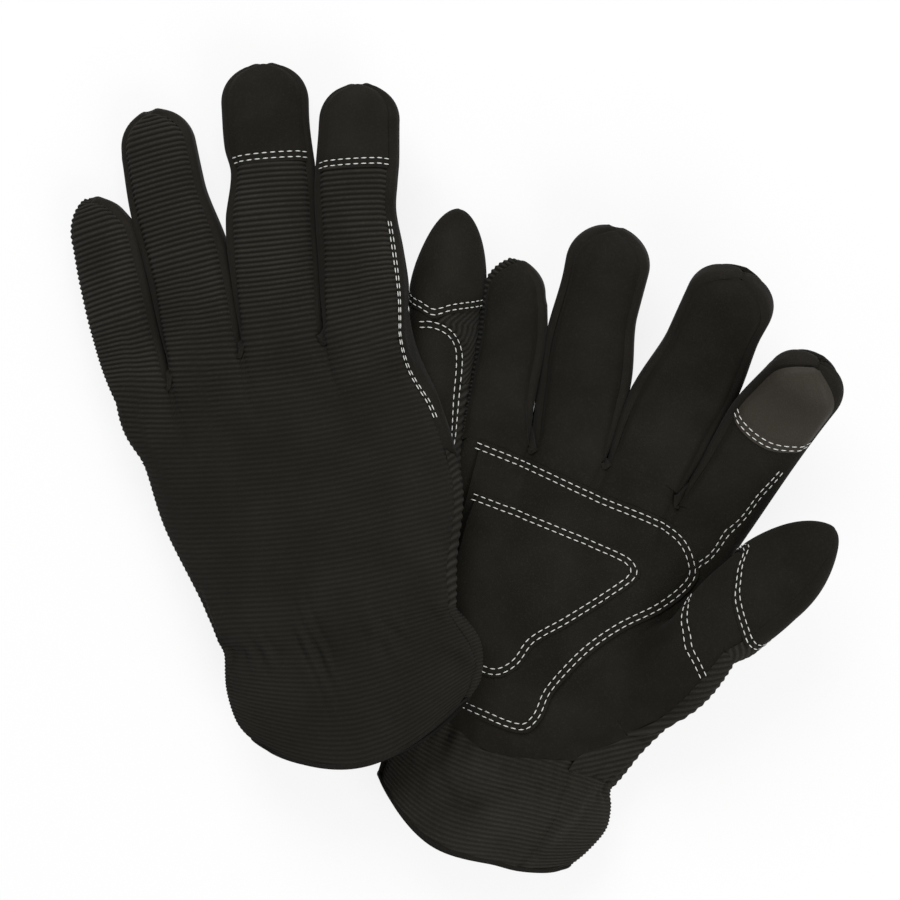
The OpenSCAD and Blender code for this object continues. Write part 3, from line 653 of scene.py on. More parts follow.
def hole_share(side, y):
    u = (y - thumb_hole_at[side])/thumb_hole_half[side]
    return np.sqrt(np.maximum(0, 1 - u*u))


def palm_edge(side, y):
    """Angle of the palm panel's edge on the thumb side: along the wrist and round the thumb's hole."""
    start = thumb_hole_at[side] - thumb_hole_half[side]
    low = lerp(cuff_seam_angle, 360 + hole_turn, smooth((y - 2.5)/(start - 2.5)))
    return np.where(y < start, low, 360 + hole_turn - hole_spread*hole_share(side, y))


def palm_columns():
    cols = []
    for i in reversed(FINGERS):
        stop = index_web_edge if i == "index" else 360 - front_seam
        cols += [(i, a) for a in np.linspace(180 + front_seam, stop, 18)]
    return cols


def paint(obj, material):
    obj.data.materials.append(material)
    for extra in ("rib", "lift", "rib_shade_contrast", "rib_painted_light"):
        obj.data.attributes.remove(obj.data.attributes[extra])
    return obj


for side in SIDES:
    reach = hand_reach[side]
    cols = palm_columns()
    top = root_angles(side, cols)
    foot = curve(leather_edge[side], (top - top[0])/(top[-1] - top[0]))[None]
    y = lerp(foot, reach, np.linspace(0, 1, 150)[:, None])
    ease = smooth((y - reach + root_zone)/root_zone)
    low = thumb_hole_at[side] - thumb_hole_half[side]
    straight = lerp(palm_edge(side, np.minimum(y, low)), top[-1], smooth((y - low)/(reach - low)))
    inset = lerp(palm_edge(side, y), top[-1], smooth((y - reach + web_zone)/web_zone)) - straight
    a = to_angles(top, lerp(pinky_seam_angle, top[0], ease), straight)
    share = (a - a[:, :1])/(a[:, -1:] - a[:, :1])
    a = a + lerp(inset*np.abs(inset)/hole_spread, inset, share**12)*share**3
    p = hand_point(side, a, y)
    run, rest = grid_lengths(p)
    to_thumb = share**6
    height = lerp(0.35, 1, to_thumb)*gathers(a, y)*(1 - smooth((y - 4)/10))
    height = height + seam_dip(run, None) + creased(p, palm_creases[side])
    height = height + 0.7*ripple(p[..., 0]/16, p[..., 1]/20, 11)*(1 - ease)*(1 - to_thumb)*smooth((y - y[:1])/8)
    grid = cloth_grid(p, height, flat_rows(p))
    panel = paint(cloth_mesh(side + "_hand_palm", side, [grid], leather_thickness), suede)
    on_hand(panel, side, "_palm_panel")


# The cuff: the same ribbed knit closes the wrist below the leather. Its seam to the back runs up the palm
# side, and a narrow tape binds the hem. The elastic is sewn inside the wrist, under the back.
cuff_drop = {"left": 0.0, "right": -0.15}
# Painted light on the cuff's knit: strength of the painted rib shading and painted light level; the right cuff is
# painted lighter, as if more light falls on it
cuff_painted_light = {"left": (0.22, 0.26), "right": (0.35, 0.55)}
cuff_creases = {
    "left": [],
    "right": [([(31.6, 4.2), (29.7, -4.2), (28.3, -13.6), (25.4, -25.4), (23.5, -30.7)], 3.2, 2.2),
              ([(-30, -17.1), (-20.5, -24.3), (-10.8, -29.5), (1.1, -19.8), (15.3, -10.5)], -2.2, 2.6)]}
tape_thickness = 1.6
elastic_width, elastic_thickness = 9.0, 0.8


def woven(tree, shader, direction, scale, distortion, strength, distance):
    """Fine bands of a weave on the flat cloth, as a bump."""
    uv = add_node(tree, "ShaderNodeUVMap", uv_map="cloth")
    bands = add_node(tree, "ShaderNodeTexWave", {"Vector": uv.outputs["UV"], "Scale": scale, "Distortion": distortion},
                     bands_direction=direction)
    bumped(tree, shader, bands.outputs["Fac"], strength, distance)


tape, tree, shader = new_material("hem_tape", (0.009, 0.0085, 0.007), 0.8, 0.08)
dyed(tree, shader, (0.0075, 0.007, 0.0058), (0.0165, 0.0153, 0.0127))
woven(tree, shader, "DIAGONAL", 45, 0, 0.5, 0.0002)

rubber, tree, shader = new_material("wrist_elastic", (0.009, 0.009, 0.008), 0.75, 0.2)
dyed(tree, shader, (0.008, 0.008, 0.007), (0.015, 0.015, 0.013))
woven(tree, shader, "Y", 40, 0, 0.6, 0.0002)


def hand_patch(side, y, first, last, count):
    """Grid of the hand's surface between two angles, which may change from row to row."""
    t = np.linspace(0, 1, count)[None]
    a = lerp(first, last, t) + 0*y
    return a, hand_point(side, a, y)


for side in SIDES:
    step, hem_at = rib_pitch/rib_samples, hem_width - cuff_length[side]
    rows = np.linspace(0, 1, int((3 - hem_at)/step))[:, None]
    y = lerp(hem_at, curve(leather_edge[side], np.linspace(0, 1, 72))[None], rows)
    a, p = hand_patch(side, y, pinky_seam_angle, cuff_seam_angle, 72)
    run, rest = grid_lengths(p)
    height = 0.5*gathers(a, y) + seam_dip(run, rest) + creased(p, cuff_creases[side])
    height = height + 0.8*ripple(p[..., 0]/12, p[..., 1]/14, 5)*(1 - rows**4)
    grids = [cloth_grid(p, height, flat_rows(p, y + cuff_drop[side]*p[..., 0]), *cuff_painted_light[side])]
    y = np.arange(hem_at, 0.01, step)[:, None]
    a, p = hand_patch(side, y, cuff_seam_angle - 360, thumb_seam(y), 34)
    run, rest = grid_lengths(p)
    height = 0.7*gathers(a, y) + seam_dip(run, rest) + creased(p, cuff_creases[side])
    height = height + 0.8*ripple(p[..., 0]/12, p[..., 1]/14, 5)
    grids.append(cloth_grid(p, height, flat_rows(p, y + cuff_drop[side]*p[..., 0]), *cuff_painted_light[side]))
    cuff = rib_up(cloth_mesh(side + "_cuff_knit", side, grids, knit_thickness, every=rib_samples), knit)
    on_hand(cuff, side, "_cuff_panel")

    turns = np.linspace(0, 360, 181)[None]
    fold = np.linspace(-1, 1, 12)[:, None]
    p = hand_point(side, turns, -cuff_length[side] + hem_width*0.55*(1 + np.sin(fold*np.pi/2)))
    run, rest = grid_lengths(p)
    grid = cloth_grid(p, 0.5*np.sqrt(1 - fold*fold) - 0.2 + 0*run, flat_rows(p))
    hem = paint(cloth_mesh(side + "_hem_tape", side, [grid], tape_thickness), tape)
    on_hand(hem, side, "_hem_binding")

    y = np.linspace(-elastic_width/2, elastic_width/2, 12)[:, None]
    a, p = hand_patch(side, y, thumb_seam(0) + 6, pinky_seam_angle - 20, 120)
    height = gathers(a, y) - knit_thickness - 0.5
    grid = cloth_grid(p, height, flat_rows(p))
    band = paint(cloth_mesh(side + "_elastic_band", side, [grid], elastic_thickness), rubber)
    on_hand(band, side, "_wrist_elastic")


# The thumb's root: ribbed knit comes round from the back of the hand and up the outer side of the thumb,
# and suede comes from the palm and over the web to the index finger. Both flow from the hand into the sleeve.
thumb_leather_from, thumb_leather_to, cone_leather_to = 84.0, 316.0, 352.0
web_point = 9.0
seam_lap = 2.0
# Painted light on the thumb side's knit: strength of the painted rib shading and painted light level
gusset_painted_light = {"left": (0.6, 0.3), "right": (0.5, 0.45)}
rib_slant = radians(38)
cone_swell = {"left": 1.5, "right": 6.5}


def root_cone(side, t, s):
    """t runs round the thumb as its own angle does, s from the edge of the hand's hole to the thumb's root."""
    t, s = np.broadcast_arrays(np.asarray(t, float), np.asarray(s, float))
    rad = np.radians(t)
    edge_at = thumb_hole_at[side] - thumb_hole_half[side]*np.cos(rad)
    edge_turn = hole_turn + hole_spread*np.sin(rad)
    edge = hand_point(side, edge_turn, edge_at)
    middle = hand_point(side, np.full(t.shape, hole_turn), np.full(t.shape, thumb_hole_at[side]))
    inward = middle - edge
    inward = inward/np.maximum(np.linalg.norm(inward, axis=-1, keepdims=True), 1e-6)
    ring = stall_point(side, "thumb", t, 0*t)
    far = np.linalg.norm(ring - edge, axis=-1, keepdims=True)
    b, c = edge + inward*np.minimum(far*0.25, 7), ring - ahead_of(side, "thumb")*far*0.38
    s = s[..., None]
    swelling = aside_of(side, "thumb")*(cone_swell[side]*np.sin(np.pi*s)*np.maximum(0, np.cos(rad))[..., None]**2)
    return edge*(1 - s)**3 + 3*b*s*(1 - s)**2 + 3*c*s*s*(1 - s) + ring*s**3 + swelling


def slanted(flat, p):
    """The same places on cloth that is cut with its ribs slanting up to the thumb."""
    return np.stack([flat[..., 0], p[..., 1]*np.cos(rib_slant) - p[..., 0]*np.sin(rib_slant)], -1)


def cone_grid(side, first, last, cols, rows):
    """Part of the cone between two seams, each given by its angles at the hand and at the thumb's root."""
    s = np.linspace(0, 1, rows)[:, None]
    t = lerp(lerp(first[0], first[1], smooth(s)), lerp(last[0], last[1], smooth(s)), np.linspace(0, 1, cols)[None])
    return root_cone(side, t, s), t, s


for side in SIDES:
    grids = []
    y = np.arange(-seam_lap, thumb_hole_at[side] + web_point, rib_pitch/rib_samples*1.3)[:, None]
    inner = np.where(y < thumb_hole_at[side] - thumb_hole_half[side], palm_edge(side, y) - 360,
                     hole_turn + hole_spread*hole_share(side, y))
    inner = lerp(inner, thumb_seam(y), smooth((y - thumb_hole_at[side])/web_point))
    a, p = hand_patch(side, y, inner, thumb_seam(y), 30)
    run, rest = grid_lengths(p)
    height = gathers(a, y) + seam_dip(None, rest)*np.minimum(1, rest[:, :1]/8)
    grids.append(cloth_grid(p, height, slanted(flat_rows(p), p), *gusset_painted_light[side]))
    p, t, s = cone_grid(side, (cone_leather_to - 360, thumb_leather_to - 360), 2*(thumb_leather_from,), 48, 150)
    run, rest = grid_lengths(p)
    height = seam_dip(run, rest)*smooth(s*4) + 0.5*ripple(p[..., 0]/9, p[..., 1]/11, 21)*np.sin(np.pi*s)
    grids.append(cloth_grid(p, height, slanted(flat_rows(p), p), *gusset_painted_light[side]))
    gusset = rib_up(cloth_mesh(side + "_thumb_side", side, grids, knit_thickness, every=rib_samples), knit)
    on_hand(gusset, side, "_thumb_gusset")

    p, t, s = cone_grid(side, 2*(thumb_leather_from,), (cone_leather_to, thumb_leather_to), 56, 50)
    run, rest = grid_lengths(p)
    height = seam_dip(run, rest)*smooth(s*4) + 0.7*ripple(p[..., 0]/10, p[..., 1]/12, 25)*np.sin(np.pi*s)
    grid = cloth_grid(p, height, flat_rows(p))
    saddle = paint(cloth_mesh(side + "_thumb_web", side, [grid], leather_thickness), suede)
    on_hand(saddle, side, "_thumb_saddle")

    reach = hand_reach[side]
    cols = [("index", v) for v in np.linspace(index_web_edge, 360 + index_seam, 26)]
    top = root_angles(side, [c for c in cols if c[1] < 360])
    top = np.append(top, 360 + root_angles(side, [(i, v - 360) for i, v in cols if v >= 360]))
    top = np.maximum.accumulate(top)
    y = np.linspace(thumb_hole_at[side], reach, 80)[:, None]
    ease = smooth((y - reach + web_zone)/web_zone)
    inner = 360 + hole_turn + hole_spread*hole_share(side, y)
    outer = 360 + lerp(thumb_seam(y), top[-1] - 360, smooth((y - reach + root_zone)/root_zone))
    outer = lerp(inner, outer, smooth((y - thumb_hole_at[side])/web_point))
    a = to_angles(top, lerp(inner, top[0], ease), outer)
    p = hand_point(side, a, y)
    run, rest = grid_lengths(p)
    grid = cloth_grid(p, seam_dip(None, rest)*np.minimum(1, run[:, -1:]/8), flat_rows(p))
    web = paint(cloth_mesh(side + "_index_side", side, [grid], leather_thickness), suede)
    on_hand(web, side, "_index_web")


# The fingers: ribbed knit on the back and suede on the front, with a strip of smooth stretch fabric down
# each inner side and round the tip. The strips stay between back and front as a narrow rim.
rim_end = {"left": 1.66, "right": 1.8}
tip_end, strip_end, thumb_tip_end = 1.985, 1.99, 1.97
rim_clear = 0.01

stretch, tree, shader = new_material("stretch_fabric", (0.0135, 0.0118, 0.0095), 0.8, 0.06)
dyed(tree, shader, (0.0105, 0.0092, 0.0073), (0.021, 0.0185, 0.015))
shader.inputs["Sheen Weight"].default_value = 0.03
woven(tree, shader, "DIAGONAL", 70, 1.5, 0.4, 0.00015)


def rim_angle(side, r, seam):
    """Angle of a seam from the middle of the finger's side: steady along it, closing round the tip."""
    t = np.clip((r - 1.0)/(rim_end[side] - 1.0), 0, 1)
    return 90 - (90 - seam)*np.sqrt(1 - t*t)


def stall_rows(side, i, first, last, step):
    """Rows of a stall between two places, about a step apart on its surface."""
    straight = straight_part(side, i)
    low = np.linspace(first, min(last, 1), max(2, int((min(last, 1) - first)*straight/step)))
    if last <= 1:
        return low
    return np.append(low, np.linspace(1, last, max(3, int((last - 1)*(tip_length[i] + 6)/step)))[1:])


def stall_flat(side, i, p, r):
    """Places on the flat cloth of a finger, in step with the hand's cloth at the root."""
    run, _ = grid_lengths(p)
    straight = straight_part(side, i)
    along = np.minimum(r, 1)*straight + np.maximum(0, r - 1)*(tip_length[i] + 5)
    run = run - run.mean(1, keepdims=True)
    y = p[:1, :, 1] + curve(rib_drop, p[:1, :, 0])
    if i != "thumb":
        y = lerp(y, root[side][i][1] + curve(rib_drop, root[side][i][0]), smooth(r*2))
    return np.stack([run, y + along], -1)


def stall_grid(side, i, first, last, cols, rows, seed):
    r = rows[:, None]
    a = lerp(first(r), last(r), np.linspace(0, 1, cols)[None])
    p = stall_point(side, i, a, r + 0*a)
    run, rest = grid_lengths(p)
    begin = smooth(r/0.12)
    height = seam_dip(run, rest)*begin*np.minimum(1, (run + rest)[:, :1]/8)
    height = height + 0.35*ripple(a/26, r*5, seed)*begin
    # Painted rib shading grows stronger out along a finger; the thumb takes the gusset's painted light
    shade_contrast, pale = gusset_painted_light[side] if i == "thumb" else (lerp(finger_shade_contrast, 0.75, smooth(r/0.25)), back_painted_light)
    return cloth_grid(p, height, stall_flat(side, i, p, r), shade_contrast, pale)


def bends(obj):
    """Bakes a piece's placement into its mesh."""
    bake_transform(obj)


def on_stall(obj, side, node):
    """Bakes a piece's placement into its mesh and hides the frame's node in its place."""
    bends(obj)
    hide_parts(side + node)


def steady(angle):
    return lambda r: angle + 0*r


def rim(side, from_angle, way, seam):
    """A finger's seam by its row, so far past an angle round the finger or before it."""
    return lambda r: from_angle + way*rim_angle(side, r, seam)


for side in SIDES:
    for k, i in enumerate(FINGERS):
        end = rim_end[side] - rim_clear
        rows = stall_rows(side, i, 0, tip_end if i == "pinky" else end, rib_pitch/rib_samples)
        first = rim(side, 0, 1, index_seam if i == "index" else back_seam)
        last = rim(side, 180, 1, front_seam) if i == "pinky" else rim(side, 180, -1, back_seam)
        grid = stall_grid(side, i, first, last, 30 if i == "pinky" else 20, rows, seed=31 + k)
        back = rib_up(cloth_mesh(side + "_" + i + "_knit", side, [grid], knit_thickness, every=rib_samples), knit)
        on_stall(back, side, "_" + i + "_back")

        rows = stall_rows(side, i, 0, tip_end if i == "index" else end, 1.0)
        first = rim(side, 180, 1, front_seam)
        last = rim(side, 360, 1, index_seam) if i == "index" else rim(side, 360, -1, front_seam)
        grid = stall_grid(side, i, first, last, 44 if i == "index" else 26, rows, seed=41 + k)
        front = paint(cloth_mesh(side + "_" + i + "_suede", side, [grid], leather_thickness), suede)
        on_stall(front, side, "_" + i + "_front")

        rows = stall_rows(side, i, 0, strip_end, 1.0)
        grids = []
        if i != "index":
            grids.append(stall_grid(side, i, rim(side, 0, -1, front_seam), rim(side, 0, 1, back_seam), 18, rows,
                                    seed=51 + k))
        if i != "pinky":
            grids.append(stall_grid(side, i, rim(side, 180, -1, back_seam), rim(side, 180, 1, front_seam), 18, rows,
                                    seed=61 + k))
        strips = paint(cloth_mesh(side + "_" + i + "_strips", side, grids, knit_thickness), stretch)
        node = "_fourchettes" if i in ("middle", "ring") else "_fourchette"
        on_stall(strips, side, "_" + i + node)


# The thumb: ribbed knit on its outer back and suede on its front and inner side, both closed over the tip.
# The suede ends in an arch below the tip, where the knit comes round to it.
arch_edge = [(0, 84), (8, 84), (13, 89), (17, 103), (19.5, 122), (21, 138), (24, 140)]


def arch_angle(side):
    straight = straight_part(side, "thumb")
    return lambda r: curve(arch_edge, r*straight)


for side in SIDES:
    rows = stall_rows(side, "thumb", 0, thumb_tip_end, rib_pitch/rib_samples*1.2)
    grid = stall_grid(side, "thumb", steady(thumb_leather_to - 360), arch_angle(side), 40, rows, seed=71)
    flat = grid["flat"]
    grid["flat"] = np.stack([flat[..., 0], flat[..., 1]*np.cos(rib_slant) + flat[..., 0]*np.sin(rib_slant)], -1)
    back = rib_up(cloth_mesh(side + "_thumb_knit", side, [grid], knit_thickness, every=rib_samples), knit)
    on_stall(back, side, "_thumb_back")

    rows = stall_rows(side, "thumb", 0, thumb_tip_end, 1.0)
    grid = stall_grid(side, "thumb", arch_angle(side), steady(thumb_leather_to), 50, rows, seed=73)
    front = paint(cloth_mesh(side + "_thumb_suede", side, [grid], leather_thickness), suede)
    on_stall(front, side, "_thumb_front")


# Strips at the bottom of the slits: short pieces of the same stretch fabric that join two fingers' side
# strips and the palm to the back. Each stands a little up the fingers, given by the finger on its thumb side.
slit_floor = {"left": {"index": 0.01, "middle": 0.01, "ring": 0.01},
              "right": {"index": 0.17, "middle": 0.08, "ring": 0.2}}
for side in SIDES:
    grids = []
    for i, j in (("index", "middle"), ("middle", "ring"), ("ring", "pinky")):
        turns = np.linspace(back_seam + 10, -front_seam - 10, 24)[None]
        floor_at = slit_floor[side][i]*smooth((turns + front_seam + 10)/50)
        near = stall_point(side, i, 180 - turns, floor_at)
        far = stall_point(side, j, turns, floor_at)
        w = np.linspace(0, 1, 8)[:, None, None]
        p = lerp(near, far, w) - np.array([0, 1, 0])*(1.0 + 2.0*np.sin(np.pi*w))
        p = p.transpose(1, 0, 2)[::-1]
        grids.append(cloth_grid(p, 0*p[..., 0], p[..., [0, 2]]))
    slits = paint(cloth_mesh(side + "_slit_strips", side, grids, knit_thickness), stretch)
    on_hand(slits, side, "_crotch_gussets")


# The patches in the palm: a large wear patch of the same suede and a smaller padded one on the heel of the
# hand, both pennant shaped, laid on the palm panel and sewn down along their edges with two rows of thread.
patch_margin = 2.3
row_gap = 1.0
patch_lift = 0.9
pad_lift = 1.9
groove_depth, groove_width, thread_proud = 0.4, 0.75, 0.25
wear_patch = {"top": [(-60, 88.2), (-44, 89.3), (-12.6, 89.9), (10.5, 91.3), (19.3, 89.6), (25.6, 84.8), (28.6, 79)],
              "side": [(28.6, 79), (23.5, 66.3), (13.4, 53), (6.9, 41.8), (3.2, 32.1), (0.2, 20.2),
                       (0.4, 10.5), (-2.5, 5)],
              "foot": [(-2.5, 5), (-18.4, 3.3), (-40, 3)]}
heel_pad = {"top": [(-53, 71.5), (-28.3, 73.2), (-5.1, 74.5), (4.8, 74.6), (8.3, 73.1), (9.4, 70.8)],
            "side": [(9.4, 70.8), (3.8, 60.2), (-5.1, 45.9), (-12.9, 34.2), (-14.8, 24.6), (-19.6, 18.6)],
            "foot": [(-19.6, 18.6), (-30, 17.6), (-42, 17)]}

wear_suede, tree, shader = new_material("patch_suede", (0.012, 0.0112, 0.009), 0.92, 0.05)
dyed(tree, shader, (0.0092, 0.0085, 0.0066), (0.02, 0.0186, 0.0149))
shader.inputs["Sheen Weight"].default_value = 0.03
shader.inputs["Sheen Roughness"].default_value = 0.4
grained(tree, shader, 2200, 4, 0.6, 0.0004)


def aside_path(path, d):
    """The same flat line, moved to its left by a distance."""
    way = np.gradient(path, axis=0)
    way = way/np.linalg.norm(way, axis=1, keepdims=True)
    return path + d*np.column_stack([-way[:, 1], way[:, 0]])


def palm_at(side, x, y, lift):
    """Place on the palm under a flat place, raised by a lift."""
    x, y = np.broadcast_arrays(np.asarray(x, float), np.asarray(y, float))
    ax, row = x.copy(), y.copy()
    for _ in range(12):
        a = hand_angle(side, ax, row, False)
        p = hand_point(side, a, row)
        ax, row = ax + 0.8*(x - p[..., 0]), row + 0.8*(y - p[..., 1])
    n = np.cross(hand_point(side, a, row + 0.4) - hand_point(side, a, row - 0.4),
                 hand_point(side, a + 0.6, row) - hand_point(side, a - 0.6, row))
    n = n/np.linalg.norm(n, axis=-1, keepdims=True)
    return p + n*np.asarray(lift)[..., None]


def sewn_line(side, shape):
    """The middle between the two rows of thread, from the pinky side round the point and back."""
    line = np.array(shape["top"][:-1] + shape["side"][:-1] + shape["foot"], float)
    line[:, 1] *= hand_reach[side]/hand_reach["right"]
    return even_path(line, 260)


def patch_grid(side, shape, lift, pad, cols, rows):
    line = sewn_line(side, shape)
    edge = aside_path(line, patch_margin)
    scale = np.array([1, hand_reach[side]/hand_reach["right"]])
    point = np.argmin(np.linalg.norm(edge - np.array(shape["side"][0])*scale, axis=1))
    heel = np.argmin(np.linalg.norm(edge - np.array(shape["foot"][0])*scale, axis=1))
    top, right, foot = (even_path(e, n) for e, n in ((edge[:point + 1], cols), (edge[point:heel + 1][::-1], rows),
                                                     (edge[heel:][::-1], cols)))
    left = even_path([foot[0], top[0]], rows)
    t, w = np.linspace(0, 1, cols)[None, :, None], np.linspace(0, 1, rows)[:, None, None]
    flat = lerp(foot[None], top[None], w) + lerp(left[:, None], right[:, None], t)
    flat = flat - lerp(lerp(foot[0], foot[-1], t), lerp(top[0], top[-1], t), w)
    to_edge = nearest(flat, edge)
    height = lift*smooth((to_edge + 0.8)/1.4) + pad*smooth((to_edge - 4)/7)
    for d in (row_gap, -row_gap):
        height = height - groove_depth*np.exp(-(nearest(flat, aside_path(line, d))/groove_width)**2)
    return cloth_grid(palm_at(side, flat[..., 0], flat[..., 1], 0*to_edge), height, flat)


hand_thread = {side: [] for side in SIDES}
for side in SIDES:
    for piece, node, shape, lift, pad in (("_wear_patch", "_palm_patch", wear_patch, patch_lift, 0.3),
                                          ("_heel_pad", "_heel_patch", heel_pad, pad_lift, 1.2)):
        grid = patch_grid(side, shape, lift, pad, 90, 80)
        patch = paint(cloth_mesh(side + piece, side, [grid], leather_thickness), wear_suede)
        on_hand(patch, side, node)
        for d in (row_gap, -row_gap):
            row = aside_path(sewn_line(side, shape), d)
            thread_lift = np.full(len(row), lift - groove_depth + thread_proud)
            hand_thread[side].append(palm_at(side, row[:, 0], row[:, 1], thread_lift))


# The caps: suede over the backs of the index and middle fingertips and all round the tip of each thumb,
# and a smooth conductive leather on the front of the index tip. Each ends in two rows of thread.
cap_from = {"index": 53.5, "middle": 56.5}
cap_lift = 0.8
touch_seam = 25.0
cap_rows = (patch_margin - row_gap, patch_margin + row_gap)
touch_edge = [(215, 47.5), (246, 45.2), (272, 45), (299, 47.6), (335, 51.5)]
thumb_cap_edge = [(-44, 7.2), (-26, 7), (0, 10), (22, 19), (42, 27), (70, 26.9), (95, 25.5), (119, 24),
                  (147, 21.8), (172, 23.7), (195, 25.2), (209, 26.7), (222, 26.5), (238, 21.5), (254, 17.5),
                  (271, 12.7), (292, 9.5), (316, 7.2)]

touch, tree, shader = new_material("touch_leather", (0.034, 0.029, 0.023), 0.6, 0.15)
dyed(tree, shader, (0.028, 0.024, 0.0185), (0.045, 0.039, 0.031))
grained(tree, shader, 1800, 5, 0.35, 0.0003)


def cap_grid(side, i, first, last, edge, end, cols, rows, seed):
    """A stall's skin from an edge line to the tip, with the turned edge and the dents of two rows of thread."""
    straight = straight_part(side, i)
    u, t = np.linspace(0, 1, cols)[None], np.linspace(0, 1, rows)[:, None]
    begin = edge(lerp(first(0.5), last(0.5), u))/straight
    r = lerp(begin, end, t)
    a = lerp(first(r), last(r), u)
    p = stall_point(side, i, a, r)
    step = np.linalg.norm(np.diff(p, axis=0), axis=-1)
    along = np.concatenate([np.zeros((1, cols)), np.cumsum(step, 0)], 0)
    run, rest = grid_lengths(p)
    height = cap_lift*smooth((along + 0.6)/1.2) + 0.3*ripple(a/26, r*6, seed)
    for d in cap_rows:
        height = height - groove_depth*np.exp(-((along - d)/groove_width)**2)
    if i != "thumb":
        height = height + 0.7*seam_dip(run, rest)*np.minimum(1, (run + rest)[:, :1]/8)
    grid = cloth_grid(p, height, stall_flat(side, i, p, r))
    rows_of_thread = []
    for d in cap_rows:
        q = grid["points"] + grid["normals"]*thread_proud
        line = np.array([[np.interp(d, along[:, c], q[:, c, k]) for k in range(3)] for c in range(cols)])
        rows_of_thread.append(line)
    return grid, rows_of_thread


stall_thread = {(side, i): [] for side in SIDES for i in STALLS}
for side in SIDES:
    for i in ("index", "middle"):
        first = rim(side, 0, 1, index_seam if i == "index" else back_seam)
        grid, lines = cap_grid(side, i, first, rim(side, 180, -1, back_seam), steady(cap_from[i]),
                               rim_end[side] - rim_clear, 30, 60, 81)
        cap = paint(cloth_mesh(side + "_" + i + "_tip_cap", side, [grid], leather_thickness), suede)
        on_stall(cap, side, "_" + i + "_cap")
        stall_thread[side, i] += [line[1:-1] for line in lines]

    grid, lines = cap_grid(side, "index", rim(side, 180, 1, front_seam), rim(side, 360, -1, touch_seam),
                           lambda a: curve(touch_edge, a), rim_end[side] - rim_clear, 36, 60, 83)
    pad = paint(cloth_mesh(side + "_touch_pad", side, [grid], leather_thickness), touch)
    on_stall(pad, side, "_index_touch_tip")
    stall_thread[side, "index"] += [line[1:-1] for line in lines]

    grid, lines = cap_grid(side, "thumb", steady(thumb_leather_to - 360), steady(thumb_leather_to),
                           lambda a: curve(thumb_cap_edge, a), tip_end, 90, 60, 85)
    cap = paint(cloth_mesh(side + "_thumb_tip_cap", side, [grid], leather_thickness), suede)
    on_stall(cap, side, "_thumb_cap")
    stall_thread[side, "thumb"] += lines


# The thread: white lock stitch in pairs of rows along the patches, the caps and the leather round the index
# finger and the thumb. Geometry nodes lay one short thread after the other along each sewn line.
stitch_pitch, stitch_length, thread_width = 2.8, 2.0, 0.4

thread, tree, shader = new_material("white_thread", (0.62, 0.62, 0.6), 0.6, 0.3)
dyed(tree, shader, (0.55, 0.55, 0.53), (0.7, 0.7, 0.68))
grained(tree, shader, 3000, 2, 0.4, 0.0002)

sewing, given, made = new_group("lock_stitch", "GeometryNodeTree",
                                [("Geometry", "Geometry"), ("Pitch", "Float"), ("Length", "Float"),
                                 ("Width", "Float"), ("Material", "Material")], [("Geometry", "Geometry")])
line_node = add_node(sewing, "GeometryNodeMeshToCurve", {"Mesh": given.outputs["Geometry"]})
spaced = add_node(sewing, "GeometryNodeResampleCurve",
                  {"Curve": line_node.outputs["Curve"], "Length": given.outputs["Pitch"]}, mode="LENGTH")
bead = add_node(sewing, "GeometryNodeMeshUVSphere", {"Segments": 8, "Rings": 6, "Radius": 0.5})
size = add_node(sewing, "ShaderNodeCombineXYZ",
                {"X": given.outputs["Width"], "Y": given.outputs["Width"], "Z": given.outputs["Length"]})
shaped = add_node(sewing, "GeometryNodeTransform", {"Geometry": bead.outputs["Mesh"], "Scale": size.outputs[0]})
smoothed = add_node(sewing, "GeometryNodeSetShadeSmooth", {"Geometry": shaped.outputs["Geometry"]})
way = add_node(sewing, "GeometryNodeInputTangent")
facing = add_node(sewing, "FunctionNodeAlignRotationToVector", {"Vector": way.outputs["Tangent"]}, axis="Z")
laying = add_node(sewing, "GeometryNodeInstanceOnPoints",
                  {"Points": spaced.outputs["Curve"], "Instance": smoothed.outputs["Geometry"],
                   "Rotation": facing.outputs["Rotation"]})
real = add_node(sewing, "GeometryNodeRealizeInstances", {"Geometry": laying.outputs["Instances"]})
finish = add_node(sewing, "GeometryNodeSetMaterial",
                  {"Geometry": real.outputs["Geometry"], "Material": given.outputs["Material"]})
sewing.links.new(finish.outputs[0], made.inputs[0])


def sew(name, side, lines):
    verts, edges = [], []
    for line in lines:
        base = len(verts)
        verts += laid(side, line).tolist()
        edges += [(base + k, base + k + 1) for k in range(len(line) - 1)]
    mesh = bpy.data.meshes.new(name)
    mesh.from_pydata(verts, edges, [])
    obj = bpy.data.objects.new(name, mesh)
    bpy.context.collection.objects.link(obj)
    obj.data = run_tree(obj, sewing, {"Pitch": stitch_pitch*0.001, "Length": stitch_length*0.001,
                                      "Width": thread_width*0.001, "Material": thread})
    bpy.data.meshes.remove(mesh)
    obj.data.name = name
    return obj


def thumb_at(side, a, along, lift):
    """Place on the thumb's skin: past its root on the sleeve, before it on the cone that leads to the hand."""
    a, along = np.broadcast_arrays(np.asarray(a, float), np.asarray(along, float))
    straight = straight_part(side, "thumb")

    def skin(turn, far):
        ring = stall_point(side, "thumb", turn, 0*turn)
        low = root_cone(side, turn, np.zeros(turn.shape))
        span = np.linalg.norm(ring - low, axis=-1)*1.08
        inside = root_cone(side, turn, np.clip(1 + far/span, 0, 1))
        outside = stall_point(side, "thumb", turn, np.maximum(far, 0)/straight)
        return np.where((far < 0)[..., None], inside, outside)
    p = skin(a, along)
    n = np.cross(skin(a, along + 0.5) - skin(a, along - 0.5), skin(a + 1, along) - skin(a - 1, along))
    return p + n/np.linalg.norm(n, axis=-1, keepdims=True)*lift


